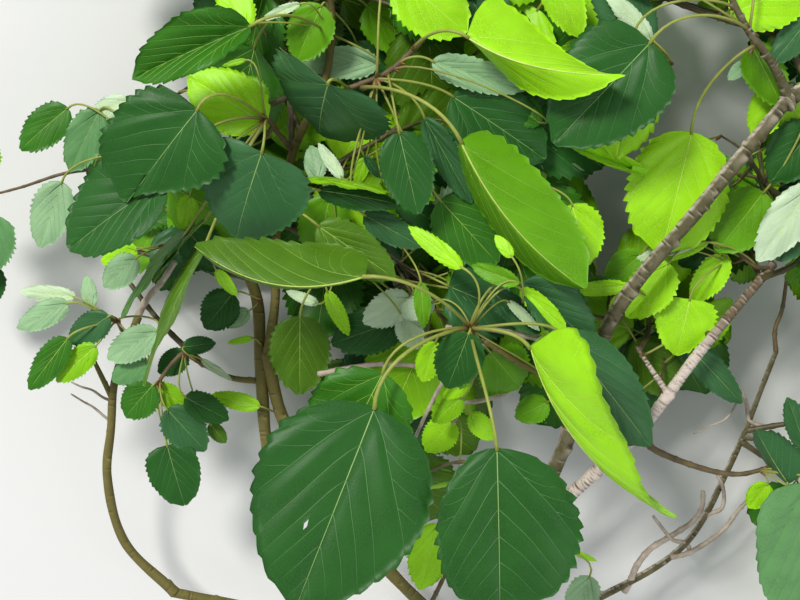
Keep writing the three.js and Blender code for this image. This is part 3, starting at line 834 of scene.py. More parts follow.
shoots = {
    "centre": dict(node=(470, 328, 190), leaves=[
        leafAt((375, 407, 226), (294, 612, 240), "deep", wide=0.83, fold=5, twist=5, basePower=0.5,
               tipPower=0.75, bow=-0.16, holes=[(0.84, -0.46)]),
        leafAt((383, 373, 212), (328, 478, 190), "green", wide=0.84, fold=10, bow=-0.14),
        leafAt((497, 448, 244), (500, 614, 236), "deep", wide=0.86, fold=4, twist=-4, basePower=0.5,
               tipPower=0.46, lop=0.14, bow=-0.04),
        leafAt((365, 277, 236), (193, 246, 226), "olive", wide=0.6, fold=-68, roll=-27, basePower=0.34,
               sway=0.12, bow=-0.1),
        leafAt((529, 347, 214), (676, 520, 222), "bright", wide=0.74, fold=-30, roll=88, basePower=0.3,
               tipPower=1.15, sway=-0.088, bow=0.06),
        leafAt((565, 337, 192), (651, 447, 172), "teal", wide=0.48, fold=-10, bow=0.03),
        leafAt((462, 268, 214), (408, 226, 206), "bright", wide=0.28, fold=16, bow=-0.16),
        leafAt((519, 283, 206), (471, 265, 198), "mid", wide=0.42, fold=34, roll=-10, bow=0.1,
               enter=-0.25),
        leafAt((512, 257, 232), (495, 235, 228), "bright", wide=0.46, node=(523, 302, 200)),
        leafAt((469, 333, 206), (447, 389, 186), "deep", wide=0.72, fold=6),
        leafAt((521, 284, 186), (592, 344, 166), "teal", wide=0.66, fold=40, roll=-16, bow=0.2),
        leafAt((521, 289, 192), (567, 331, 186), "bright", wide=0.34, fold=20, bow=0.1),
        leafAt((492, 292, 180), (541, 333, 168), "teal", wide=0.44, fold=24),
        leafAt((508, 301, 186), (540, 331, 176), "silver", wide=0.22),
        leafAt((434, 302, 174), (398, 314, 160), "silver", wide=0.6, fold=12, bow=-0.2),
        leafAt((421, 283, 190), (424, 328, 180), "mid", wide=0.36, node=(404, 248, 168)),
        leafAt((436, 342, 166), (422, 382, 150), "bright", wide=0.56, bow=-0.1),
        leafAt((470, 382, 150), (443, 398, 144), "bright", wide=0.5),
        leafAt((462, 398, 146), (432, 422, 138), "lime", wide=0.6),
        leafAt((470, 414, 124), (494, 440, 118), "bright", wide=0.6),
        leafAt((548, 402, 130), (515, 418, 124), "mid", wide=0.8),
        leafAt((490, 352, 176), (520, 388, 150), "mid", wide=0.9),
    ]),
    "upperLeft": dict(node=(267, 120, 176), leaves=[
        leafAt((198, 109, 222), (126, 204, 196), "deep", wide=0.94, fold=6, twist=-6, basePower=0.34,
               tipPower=0.75, tipLop=-0.15, bow=-0.16),
        leafAt((262, 152, 222), (236, 239, 182), "teal", wide=1.08, fold=-8, arch=0.06, basePower=0.32),
        leafAt((165, 180, 196), (68, 250, 184), "deep", wide=0.8, fold=18, roll=20, basePower=0.4,
               lop=-0.1, bow=-0.2),
        leafAt((266, 124, 176), (187, 76, 168), "bright", wide=0.66, fold=14),
        leafAt((262, 112, 166), (233, 76, 158), "mid", wide=0.8, fold=8),
        leafAt((190, 196, 160), (184, 230, 146), "bright", wide=0.6, fold=8),
        leafAt((205, 247, 178), (142, 387, 168), "olive", wide=0.66, fold=10, roll=72, basePower=0.35,
               tipPower=0.9),
        leafAt((206, 219, 160), (152, 284, 140), "olive", wide=0.5, fold=10, roll=78),
        leafAt((186, 234, 154), (121, 318, 124), "green", wide=0.6, fold=12, roll=70),
        leafAt((318, 226, 200), (396, 279, 190), "olive", wide=0.5, fold=10, node=(280, 217, 121),
               bow=0.1),
        leafAt((216, 270, 170), (237, 296, 160), "bright", wide=0.36, node=(213, 262, 172)),
        leafAt((246, 60, 172), (222, 66, 168), "lime", wide=0.24, fold=20),
    ]),
    "upperStem": dict(node=(330, 34, 152), leaves=[
        leafAt((251, 26, 222), (131, 79, 206), "green", wide=0.62, fold=52, roll=2, basePower=0.4,
               tipPower=0.74, bow=-0.05),
        leafAt((247, 28, 190), (222, -18, 184), "bright", wide=0.66, fold=10, enter=0.05, bow=-0.1),
        leafAt((300, 4, 186), (262, 20, 180), "silver", wide=0.3, fold=40),
        leafAt((322, 5, 174), (296, 62, 160), "mid", wide=0.76, fold=5, node=(331, 20, 148)),
        leafAt((328, 84, 236), (320, 135, 150), "teal", wide=1.0, fold=-12, arch=0.05, basePower=0.34,
               node=(348, 88, 189)),
        leafAt((378, 64, 141), (300, 62, 138), "pale", wide=0.44, fold=14),
    ]),
    "upperMiddle": dict(node=(376, 79, 191), leaves=[
        leafAt((460, 141, 224), (586, 290, 212), "mid", wide=0.68, fold=-62, roll=25, basePower=0.42,
               tipPower=0.6, sway=-0.065, node=(362, 88, 189), bow=0.1),
        leafAt((399, 132, 206), (418, 215, 196), "deep", wide=0.64, fold=5, node=(388, 74, 191)),
        leafAt((424, 118, 186), (472, 204, 172), "teal", wide=0.36, fold=40, bow=0.1),
        leafAt((452, 96, 186), (546, 160, 172), "deep", wide=0.72, fold=12),
        leafAt((466, 37, 228), (627, 75, 240), "bright", wide=0.7, fold=-62, roll=12, twist=-70,
               basePower=0.3, tipPower=0.85, sway=-0.08, lop=0.22, node=(413, 49, 191), bow=0.14),
        leafAt((432, 62, 196), (526, 90, 188), "pale", wide=0.34, fold=18, roll=10, node=(400, 63, 191),
               bow=0.16),
        leafAt((540, 124, 180), (504, 92, 176), "green", wide=0.6, node=(394, 69, 191), bow=0.14),
        leafAt((398, -24, 190), (467, 34, 184), "bright", wide=0.8, fold=10),
        leafAt((306, 179, 196), (393, 193, 188), "lime", wide=0.4, fold=8, roll=-74,
               node=(284, 186, 130)),
        leafAt((318, 190, 188), (403, 205, 178), "deep", wide=0.3, fold=-20, roll=-18,
               node=(284, 186, 130)),
        leafAt((342, 178, 172), (318, 143, 162), "silver", wide=0.28),
        leafAt((318, 180, 168), (311, 145, 160), "pale", wide=0.56, node=(342, 190, 160)),
        leafAt((366, 158, 168), (356, 184, 160), "lime", wide=0.5),
        leafAt((364, 156, 170), (381, 178, 162), "teal", wide=0.5, fold=50),
        leafAt((440, 200, 172), (498, 264, 160), "green", wide=0.74, fold=8),
        leafAt((364, 215, 168), (422, 247, 158), "teal", wide=0.44, fold=12),
        leafAt((396, 198, 160), (444, 228, 150), "deep", wide=0.56, fold=12),
        leafAt((572, 204, 172), (588, 266, 162), "bright", wide=0.76, node=(548, 186, 166)),
    ]),
    "upperRight": dict(node=(749, 31, 205), leaves=[
        leafAt((651, 42, 218), (553, 145, 198), "deep", wide=0.82, fold=8, basePower=0.32, tipPower=0.66,
               bow=-0.12),
        leafAt((546, -34, 190), (581, 38, 180), "bright", wide=0.54, fold=12),
        leafAt((651, 42, 178), (592, -22, 184), "teal", wide=0.6, fold=10, node=(672, 64, 164)),
        leafAt((652, 40, 182), (604, -10, 188), "silver", wide=0.3, node=(672, 64, 164)),
        leafAt((736, -48, 196), (614, -16, 188), "teal", wide=0.5, fold=10),
        leafAt((632, 42, 190), (617, 160, 174), "bright", wide=0.68, fold=6, node=(735, 8, 208),
               bow=-0.15),
        leafAt((652, 178, 144), (568, 145, 172), "bright", wide=0.4, fold=80, node=(692, 188, 126),
               bow=-0.1),
        leafAt((692, 132, 160), (661, 253, 150), "bright", wide=0.82, fold=5, basePower=0.45,
               tipPower=0.5, node=(754, 46, 202), bow=-0.16),
        leafAt((752, 46, 186), (783, 107, 170), "mid", wide=0.6, fold=-24, roll=20),
        leafAt((731, 14, 196), (822, -24, 188), "bright", wide=0.62, fold=8),
        leafAt((746, 62, 170), (728, 80, 164), "pale", wide=0.6),
    ]),
    "rightEdge": dict(node=(812, 100, 168), leaves=[
        leafAt((818, 8, 192), (772, 64, 184), "teal", wide=0.5, node=(822, -30, 196)),
        leafAt((786, 84, 156), (752, 136, 148), "bright", wide=0.72),
        leafAt((820, 80, 172), (788, 152, 160), "bright", wide=0.66),
        leafAt((816, 124, 170), (770, 182, 158), "deep", wide=0.8),
        leafAt((812, 186, 182), (757, 262, 170), "silver", wide=0.5, fold=10),
        leafAt((816, 184, 178), (778, 262, 166), "teal", wide=0.7, fold=10),
        leafAt((764, 192, 150), (716, 252, 138), "mid", wide=0.8),
    ]),
    "rightInner": dict(node=(728, 262, 118), leaves=[
        leafAt((690, 299, 130), (676, 356, 116), "bright", wide=1.0, fold=4, basePower=0.26, bow=-0.1),
        leafAt((669, 263, 138), (627, 318, 124), "bright", wide=0.72, fold=22, node=(757, 267, 127),
               bow=-0.18),
        leafAt((642, 254, 130), (606, 284, 122), "mid", wide=0.8, bow=-0.12),
        leafAt((655, 252, 134), (630, 265, 126), "silver", wide=0.35),
        leafAt((708, 242, 140), (662, 262, 136), "bright", wide=0.22),
        leafAt((700, 243, 144), (668, 256, 140), "silver", wide=0.14),
        leafAt((725, 253, 126), (692, 302, 112), "bright", wide=0.6, fold=30, node=(744, 260, 128)),
        leafAt((684, 342, 108), (742, 404, 96), "teal", wide=0.34, node=(640, 356, 119)),
        leafAt((622, 284, 138), (566, 284, 130), "green", wide=0.3, node=(648, 300, 120)),
        leafAt((628, 286, 140), (568, 291, 134), "bright", wide=0.28, fold=20, node=(648, 300, 120)),
        leafAt((625, 292, 132), (610, 318, 124), "bright", wide=0.5, node=(648, 300, 120)),
    ]),
    "lowRight": dict(node=(760, 470, 104), leaves=[
        leafAt((788, 484, 118), (756, 429, 122), "teal", wide=0.8, fold=-30, roll=-55),
        leafAt((808, 482, 122), (806, 632, 104), "sage", wide=0.68, fold=8, basePower=0.3, tipPower=0.5),
        leafAt((768, 484, 108), (748, 508, 104), "bright", wide=0.8),
        leafAt((806, 450, 104), (787, 397, 100), "teal", wide=0.5, fold=20),
    ]),
    "leftCluster": dict(node=(117, 320, 112), leaves=[
        leafAt((68, 338, 126), (29, 390, 112), "green", wide=0.42),
        leafAt((96, 346, 122), (56, 382, 112), "lime", wide=0.46),
        leafAt((68, 303, 128), (17, 329, 120), "pale", wide=0.44),
        leafAt((109, 316, 126), (69, 343, 116), "teal", wide=0.6),
        leafAt((158, 331, 130), (107, 359, 118), "pale", wide=0.54, fold=16, bow=0.2),
        leafAt((148, 361, 120), (112, 381, 108), "sage", wide=0.6),
        leafAt((75, 297, 116), (19, 291, 108), "silver", wide=0.3),
        leafAt((92, 308, 112), (86, 275, 104), "pale", wide=0.46),
        leafAt((137, 258, 122), (103, 287, 110), "pale", wide=0.62, node=(165, 246, 112)),
        leafAt((137, 250, 116), (101, 262, 106), "bright", wide=0.7, node=(165, 246, 112)),
    ]),
    "leftTop": dict(node=(150, 150, 120), leaves=[
        leafAt((100, 110, 124), (70, 172, 116), "sage", wide=0.6),
        leafAt((128, 100, 128), (88, 118, 120), "silver", wide=0.5),
        leafAt((68, 108, 118), (20, 150, 110), "green", wide=0.6),
        leafAt((62, 182, 116), (40, 248, 106), "pale", wide=0.6),
    ]),
    "leftEdge": dict(node=(-12, 196, 108), leaves=[
        leafAt((-16, 168, 116), (-58, 142, 108), "green"),
        leafAt((-26, 200, 112), (-63, 238, 102), "teal", wide=0.8),
        leafAt((-2, 216, 108), (-10, 272, 96), "sage", wide=0.76),
        leafAt((-34, 184, 98), (-66, 196, 88), "mid", wide=0.8),
        leafAt((-12, 176, 120), (-22, 134, 112), "lime", wide=0.8),
        leafAt((-22, 236, 92), (-48, 288, 76), "olive"),
        leafAt((-6, 262, 74), (-30, 306, 60), "deep"),
    ]),
    "leftSpur": dict(node=(160, 380, 112), leaves=[
        leafAt((153, 385, 116), (125, 417, 106), "green", wide=0.8),
        leafAt((154, 386, 110), (190, 409, 104), "lime", wide=0.56),
        leafAt((185, 397, 122), (229, 420, 112), "deep", wide=0.58, node=(184, 353, 113)),
        leafAt((167, 409, 118), (206, 451, 108), "teal", wide=0.7),
        leafAt((167, 445, 112), (185, 506, 104), "deep", wide=0.82, basePower=0.3, tipPower=0.56,
               depth=0.5, arc=0.2),
        leafAt((168, 428, 104), (204, 447, 98), "pale", wide=0.75),
        leafAt((210, 424, 104), (226, 443, 98), "olive", wide=0.6, node=(184, 353, 113)),
        leafAt((260, 406, 106), (210, 395, 98), "bright", wide=0.34, node=(276, 412, 84)),
        leafAt((187, 353, 110), (158, 373, 100), "deep", wide=0.66, node=(199, 362, 111)),
        leafAt((183, 347, 116), (216, 343, 108), "deep", wide=0.56, node=(199, 362, 111)),
        leafAt((201, 359, 112), (232, 380, 106), "silver", wide=0.24, fold=30, node=(184, 353, 113)),
        leafAt((233, 293, 116), (205, 329, 106), "deep", wide=0.8, node=(262, 300, 108)),
        leafAt((249, 311, 110), (224, 326, 104), "pale", wide=0.6, node=(262, 300, 108)),
        leafAt((253, 338, 112), (227, 343, 106), "bright", wide=0.25, node=(263, 346, 104)),
    ]),
    "backCentre": dict(node=(340, 252, 128), leaves=[
        leafAt((327, 291, 152), (349, 336, 138), "bright", wide=0.32, fold=20),
        leafAt((404, 318, 142), (331, 344, 130), "deep", wide=0.62),
        leafAt((300, 316, 138), (300, 395, 120), "olive", wide=0.74),
        leafAt((318, 304, 134), (286, 291, 126), "silver", wide=0.3),
        leafAt((330, 196, 150), (316, 262, 132), "mid", wide=0.74),
        leafAt((410, 297, 164), (363, 323, 150), "silver", wide=0.62),
        leafAt((402, 316, 160), (419, 349, 150), "silver", wide=0.7),
    ]),
    "lowCentre": dict(node=(452, 520, 88), leaves=[
        leafAt((438, 524, 110), (420, 590, 100), "bright", wide=0.62),
        leafAt((571, 551, 96), (597, 561, 92), "bright", wide=0.22, fold=30),
        leafAt((590, 576, 90), (572, 622, 84), "pale", wide=0.66),
        leafAt((452, 420, 118), (426, 452, 108), "bright", wide=0.78),
    ]),
}


def placedLeaf(row):
    # the same row with its picture places turned into places in the frame
    places = {key: seen(*row[key][:2], row[key][2] * mm) for key in ("base", "tip", "node")}
    return {**row, **places}


leaves = []
for shoot in shoots.values():
    for row in shoot["leaves"]:
        leaves.append(placedLeaf({"node": shoot["node"], **row}))
print(f"{len(leaves)} leaves set by the picture")


# The rest of the crown, grown from the limbs by a seeded rule

growth = {
    "boughsPerMass": 3,
    "boughTries": 12,             # for each one wanted
    "boughFrom": 40,              # places on the limbs nearest the mass
    "boughTo": (0.3, 0.75),       # where in the mass a bough ends: 0 at its middle, 1 at its side
    "boughBow": (0.08, 0.08),     # upwards, and any way at random, share of its length
    "boughRadius": (2.5 * mm, 1.4 * mm),
    "twigsPerLitre": 7,           # of a mass's box
    "twigReach": 62 * mm,         # how far a twig likes to run from the wood it leaves
    "twigFrom": 5,                # places on the wood to choose from
    "twigTo": (0.15, 1.0),
    "twigBow": (0.12, 0.08),
    "twigRadius": (1.5 * mm, 0.9 * mm),
    "step": 3 * mm,
    "leafEvery": 12 * mm,
    "leafGaps": (0.5, 1.4, 7),    # of leafEvery: first behind the twig's tip, last, and how many
    "bare": 0.22,                 # share of a twig with no leaves, at its foot
    "leafLength": (42 * mm, 90 * mm),
    "stalkShare": (0.40, 0.75),   # stalk against blade
    "stalkWay": (0.6, 0.6, 0.9, 0.30),   # outwards, along the twig, round it, and upwards
    "bladeHang": (0.28, -0.28),   # strays at random, and hangs
    "skyLean": (0.35, 0.30),      # leans outwards, and strays at random
    "clearOfFloor": (3 * mm, 6 * mm),  # leaves, and twigs
    "nearest": 0.42,              # two blades' middles keep this share of their lengths apart
    "cell": 8,                    # pixels, for what the picture keeps in view
    "beyond": 50,                 # cells kept outside the picture as well, on every side
    "under": 6 * mm,              # how far growth stays below what it must not hide
    "clearOfLimbs": 6 * mm,
    "stalkRise": 8 * mm,          # of a stalk's middle above its ends, to tell whether it hides anything
    "woodNear": 25 * mm,          # twigs also leave limbs this far outside a mass's box
    "worthBough": 5,              # a mass with fewer leaves than this keeps no boughs
}

# where the picture shows no leaf of the branch, in pixels: middle across, middle down, half sizes
openPatches = [
    (95, 28, 108, 62), (34, 110, 56, 60), (62, 266, 40, 22), (60, 430, 84, 76), (50, 540, 92, 60),
    (215, 545, 42, 80), (222, 462, 26, 40), (226, 312, 18, 26), (690, 515, 56, 88), (612, 520, 26, 60),
    (612, 218, 14, 40), (703, 78, 46, 54), (716, 440, 40, 30), (770, 340, 34, 52), (640, 108, 18, 20),
    (30, 340, 40, 22), (150, 440, 30, 60), (742, 572, 40, 44), (230, 365, 22, 30), (195, 310, 10, 24),
    (22, 230, 34, 62), (265, 370, 26, 90),
]
grownShapes = {  # from and to, for what differs from the usual leaf
    "wide": (0.74, 0.98), "fold": (-6, 26), "arch": (-0.01, 0.07), "twist": (-14, 14), "wave": (0.01, 0.03),
    "basePower": (0.36, 0.55), "tipPower": (0.50, 0.82),
}
toneMixes = {  # how often each tone comes up, for the shaded inner masses and for the outer ones
    "inner": {"deep": 3, "green": 4, "teal": 1, "olive": 3, "mid": 4, "lime": 3, "bright": 2, "pale": 0.4},
    "outer": {"deep": 4, "green": 4, "teal": 3, "olive": 2, "mid": 3, "lime": 2, "bright": 1.5, "pale": 1},
}
innerNames = ("centre", "inner", "middle")  # in the name of a mass that the others shade
mapSize = [camera["picture"][k] // growth["cell"] + 2 * growth["beyond"] for k in (0, 1)]
openSky, shut = 9.0, -1.0  # ceilings far above the branch, and below the floor


def cellOf(points):
    # the map's cell that each place falls in, as the picture sees it
    column, row = (np.floor(a / growth["cell"]).astype(int) + growth["beyond"] for a in pixelsOf(points))
    return np.clip(row, 0, mapSize[1] - 1), np.clip(column, 0, mapSize[0] - 1)


def ceilingMap(leaf):
    # for each cell, the height that growth stays under: the lowest point of a listed leaf
    # or of a limb there, or below the floor in an open patch
    v, u = (a.reshape(-1) for a in np.meshgrid(np.linspace(0.02, 0.98, 30), np.linspace(-1, 1, 21)))
    shown = [leafSurface(leaf, v, u).reshape(-1, 3)]
    for path in limbPaths.values():
        for shift in (-3, 0, 3):
            shown.append(path + np.array([shift * mm, shift * mm, -4 * mm]))
    points = np.vstack(shown)
    ceiling = np.full(mapSize[::-1], openSky)
    np.minimum.at(ceiling, cellOf(points), points[:, 2])
    down, across = np.meshgrid(*(np.arange(size) for size in mapSize[::-1]), indexing="ij")
    across, down = ((a - growth["beyond"] + 0.5) * growth["cell"] for a in (across, down))
    for x, y, wide, tall in openPatches:
        ceiling[((across - x) / wide) ** 2 + ((down - y) / tall) ** 2 < 1] = shut
    return ceiling


def hides(points):
    # whether any of each row's places is above what growth has to stay under
    return (points[..., 2] > ceiling[cellOf(points)] - growth["under"]).any(axis=-1)


def growWood(root, goal, bow):
    # a stem from root to goal that bows upwards and strays a little to one side
    lift, stray = bow
    reach = np.linalg.norm(goal - root)
    bend = (root + goal) / 2 + (np.array([0, 0, lift]) + dice.normal(size=3) * stray) * reach
    return curveThrough([root, bend, goal], growth["step"])


def growBoughs(middle, half, wood):
    # boughs leave the limbs nearest the mass and end at places spread inside it; one that would
    # cross in front of the picture's leaves is thrown again
    away = np.linalg.norm(np.maximum(np.abs(wood - middle) - half * 0.8, 0), axis=1)
    near = wood[np.argsort(away)[:growth["boughFrom"]]]
    paths = []
    for _ in range(growth["boughTries"] * growth["boughsPerMass"]):
        goal = middle + half * unit(dice.normal(size=3)) * dice.uniform(*growth["boughTo"])
        path = growWood(near[dice.integers(len(near))], goal, growth["boughBow"])
        if len(path) > 14 and len(paths) < growth["boughsPerMass"] and not hides(path[5:]):
            paths.append(path)
    return paths


def growLeaves(path, outwards, pair, key):
    # leaves go round a twig by the golden angle, closer together towards its end, on stalks that
    # lean outwards and a little up; the blades hang a little and face the sky
    out, on, swung, rise = growth["stalkWay"]
    (bladeStray, hang), (lean, leanStray) = growth["bladeHang"], growth["skyLean"]
    rows = []
    gaps = growth["leafEvery"] * np.linspace(*growth["leafGaps"])
    steps = len(path) - 1 - np.concatenate([[0], np.cumsum(gaps)]) / growth["step"]
    for k, step in enumerate(steps[steps > len(path) * growth["bare"]].astype(int)):
        ahead = path[min(step + 1, len(path) - 1)] - path[max(step - 2, 0)]
        spin = goldenAngle * k + key[1]
        swing = np.array([np.cos(spin), np.sin(spin), 0.1])
        stalkWay = unit(outwards * out + unit(ahead) * on + swing * swung + np.array([0, 0, rise]))
        level = stalkWay * np.array([1, 1, 0.2])
        bladeWay = unit(level + dice.normal(size=3) * bladeStray + np.array([0, 0, hang]))
        size = dice.uniform(*growth["leafLength"]) * (0.75 if k == 0 else 1)
        base = path[step] + stalkWay * size * dice.uniform(*growth["stalkShare"])
        sky = np.array([0, 0, 1.0]) + outwards * lean + dice.normal(size=3) * leanStray
        rows.append({
            "node": path[step], "base": base, "tip": base + bladeWay * size, "sky": unit(sky),
            "tone": pair[k % 2], "twig": key, "step": step, "path": path,
            **{name: dice.uniform(*span) for name, span in grownShapes.items()},
        })
    return rows


def growTwigs(name, middle, half, wood):
    # each twig runs to a place inside the mass from wood about a twig's reach away
    inner = any(word in name for word in innerNames)
    mix = toneMixes["inner" if inner else "outer"]
    weights = np.array(list(mix.values()))
    litres = (2 * half).prod() * 1000
    rows = []
    for number in range(int(growth["twigsPerLitre"] * litres)):
        goal = middle + half * unit(dice.normal(size=3)) * dice.uniform(*growth["twigTo"]) ** 0.5
        order = np.argsort(np.abs(np.linalg.norm(wood - goal, axis=1) - growth["twigReach"]))
        path = growWood(wood[order[dice.integers(growth["twigFrom"])]], goal, growth["twigBow"])
        pair = [list(mix)[k] for k in dice.choice(len(mix), size=2, p=weights / weights.sum())]
        if not hides(path[4:]) and (path[:, 2] > growth["clearOfFloor"][1]).all():
            outwards = unit((goal - middle) * np.array([1, 1, 0.5]))
            rows += growLeaves(path, outwards, pair, (name, number))
    return rows


def kept(rows, limbPoints, placed):
    # drops each grown leaf that leaves the branch's box, dips to the floor, hides what the picture
    # shows (its stalk too), runs into a limb, or sits on a leaf that is already there
    leaf = makeLeaves(rows)
    v, u = (a.reshape(-1) for a in np.meshgrid([0.04, 0.2, 0.4, 0.6, 0.8, 0.98], [-1, -0.5, 0, 0.5, 1]))
    points = leafSurface(leaf, v, u)
    low, high = (np.array(corner) for corner in cadBounds)
    low = low + np.array([0, 0, growth["clearOfFloor"][0]])
    fine = ((points > low) & (points < high)).all(axis=(1, 2)) & ~hides(points)
    node = np.array([row["node"] for row in rows])
    fine &= ~hides((node + leaf["base"])[:, None] / 2 + np.array([0, 0, growth["stalkRise"]]))
    for place in range(0, points.shape[1], 2):
        gap = np.linalg.norm(points[:, place, None] - limbPoints[None], axis=2).min(axis=1)
        fine &= gap > growth["clearOfLimbs"]
    middles = (leaf["base"] + leaf["tip"]) / 2
    chosen = []
    taken = [(row["base"] + row["tip"]) / 2 for row in placed]
    spans = [np.linalg.norm(row["tip"] - row["base"]) for row in placed]
    for k in np.flatnonzero(fine):
        size = leaf["length"][k, 0]
        gap = np.linalg.norm(np.array(taken) - middles[k], axis=1)
        if (gap > growth["nearest"] * (np.array(spans) + size) / 2).all():
            chosen.append(rows[k])
            taken.append(middles[k])
            spans.append(size)
    return chosen


# every fourth ring of the limbs, and for growth none of the butt or of any limb's first quarter
limbPoints = np.vstack([path[::4] for path in limbPaths.values()])
leafy = [path for name, path in limbPaths.items() if name != "limb_main"]
leafyPoints = np.vstack([path[len(path) // 4::4] for path in leafy])
ceiling = ceilingMap(makeLeaves(leaves))
masses = [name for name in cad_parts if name.startswith("mass_")]
boughs, grown = [], []
for name in masses:
    low, high = (np.array(corner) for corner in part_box(name))
    middle, half = (low + high) / 2, (high - low) / 2
    own = growBoughs(middle, half, leafyPoints)
    near = (np.abs(leafyPoints - middle) < half + growth["woodNear"]).all(axis=1)
    wood = np.vstack([leafyPoints[near]] + [path[8:] for path in own])
    rows = growTwigs(name, middle, half, wood) if len(wood) else []
    found = kept(rows, limbPoints, leaves + grown) if rows else []
    boughs += own if len(found) >= growth["worthBough"] else []
    grown += found
    print(f"{name}: {len(own)} boughs, {len(found)} leaves grown")
print(f"{len(grown)} leaves grown in all")


# Pieces of leaf

stalk = {
    "arch": 0.20,               # rise of its middle over its ends, share of its length
    "enter": 0.30,              # how straight it comes into the blade, share of its length
    "into": 1.5 * mm,           # how far it runs on under the blade
    "radius": 1.02 * mm,        # on a leaf 94 mm long
    "thicker": (0.75, 0.25),    # millimetres more at the node, and at the blade
    "lines": ((14, 7), (9, 5)),  # steps and sides of the mesh, for leaves in the picture and grown ones
}


def addStalks(mesh, rows, lines):
    # a stalk leaves its node outwards, arches, bows aside if asked, and comes into the blade along
    # the midrib: a cubic curve from node to blade base, thick at the node. Its foot is marked.
    steps, sides = lines
    node = np.array([row["node"] for row in rows])
    base = np.array([row["base"] for row in rows])
    blades = np.array([row["tip"] for row in rows]) - base
    size = np.linalg.norm(blades, axis=1, keepdims=True)
    ahead = blades / size
    span = np.linalg.norm(base - node, axis=1, keepdims=True)
    bow, enter, arc = (np.array([row.get(key, usual) for row in rows])[:, None]
                       for key, usual in (("bow", 0.0), ("enter", stalk["enter"]), ("arc", 1.0)))
    aside = np.cross([0, 0, 1.0], base - node) * bow
    lift = span * stalk["arch"] * arc * np.array([0, 0, 1.0])
    inward = base - ahead * span * enter + lift * 0.6 + aside
    outward = node + (base - node) * 0.22 + lift * 1.3 + aside
    end = base + ahead * stalk["into"]
    t = np.linspace(0, 1, steps)[None, :, None]
    paths = ((1 - t) ** 3 * node[:, None] + 3 * (1 - t) ** 2 * t * outward[:, None]
             + 3 * (1 - t) * t ** 2 * inward[:, None] + t ** 3 * end[:, None])
    t = t[..., 0]
    stout = np.clip(0.45 + size / (170 * mm), 0.6, 1.25)
    foot, head = stalk["thicker"]
    swollen = foot * np.exp(-t * 16) + head * smooth((t - 0.85) / 0.15)
    radii = (stalk["radius"] + swollen * mm) * stout
    tubes(mesh, paths, radii, sides, mark=np.exp(-t * 5) * np.ones_like(radii))


# the mesh of a blade: places along each tooth, columns across, and whether its veins branch
largeLeaf = 62 * mm
fineBlade = ((0, 0.40, blade["toothPeak"]), 19, 1)
plainBlade = ((0, blade["toothPeak"]), 11, 0)
grownBlade = ((0, blade["toothPeak"]), 7, 0)


def isLarge(row):
    # from base to tip longer than the limit
    return np.linalg.norm(row["tip"] - row["base"]) > largeLeaf


stalks, veins = Mesh(), {shade: Mesh() for shade in veinShades}
bladePieces = {tone: Mesh() for tone in tones}
for rows, lines in zip((leaves, grown), stalk["lines"]):
    addStalks(stalks, rows, lines)
for tone, (*_, shade) in tones.items():
    own = [row for row in leaves if row["tone"] == tone]
    for large, (places, columns, detail) in ((True, fineBlade), (False, plainBlade)):
        rows = [row for row in own if isLarge(row) == large]
        if rows:
            leaf = makeLeaves(rows)
            for k, row in enumerate(rows):
                one = {key: value[k:k + 1] for key, value in leaf.items()}
                bladeSkins(bladePieces[tone], one, places, columns, row.get("holes", ()))
            addVeins(veins[shade], leaf, columns, detail)
    rows = [row for row in grown if row["tone"] == tone]
    if rows:
        leaf = makeLeaves(rows)
        places, columns, detail = grownBlade
        bladeSkins(bladePieces[tone], leaf, places, columns)
        addVeins(veins[shade], leaf, columns, detail)


def addStem(mesh, path, radii):
    # a twig: tapers, with slight swellings like old leaf scars
    run = np.linspace(0, 1, len(path))[None]
    thick = radii[0] + (radii[1] - radii[0]) * run
    swell = 1 + 0.20 * np.maximum(np.sin(run * len(path) * 1.1), 0) ** 6
    tubes(mesh, path[None], thick * swell)


twigs = Mesh()
for path in boughs:
    addStem(twigs, path, growth["boughRadius"])
for key in dict.fromkeys(row["twig"] for row in grown):
    own = [row for row in grown if row["twig"] == key]
    addStem(twigs, own[0]["path"][:max(row["step"] for row in own) + 1], growth["twigRadius"])
twigs.piece("leafTwigs", [plainFinish("twigBark", (0.135, 0.110, 0.045), 0.6)], masses, "bark_tan")

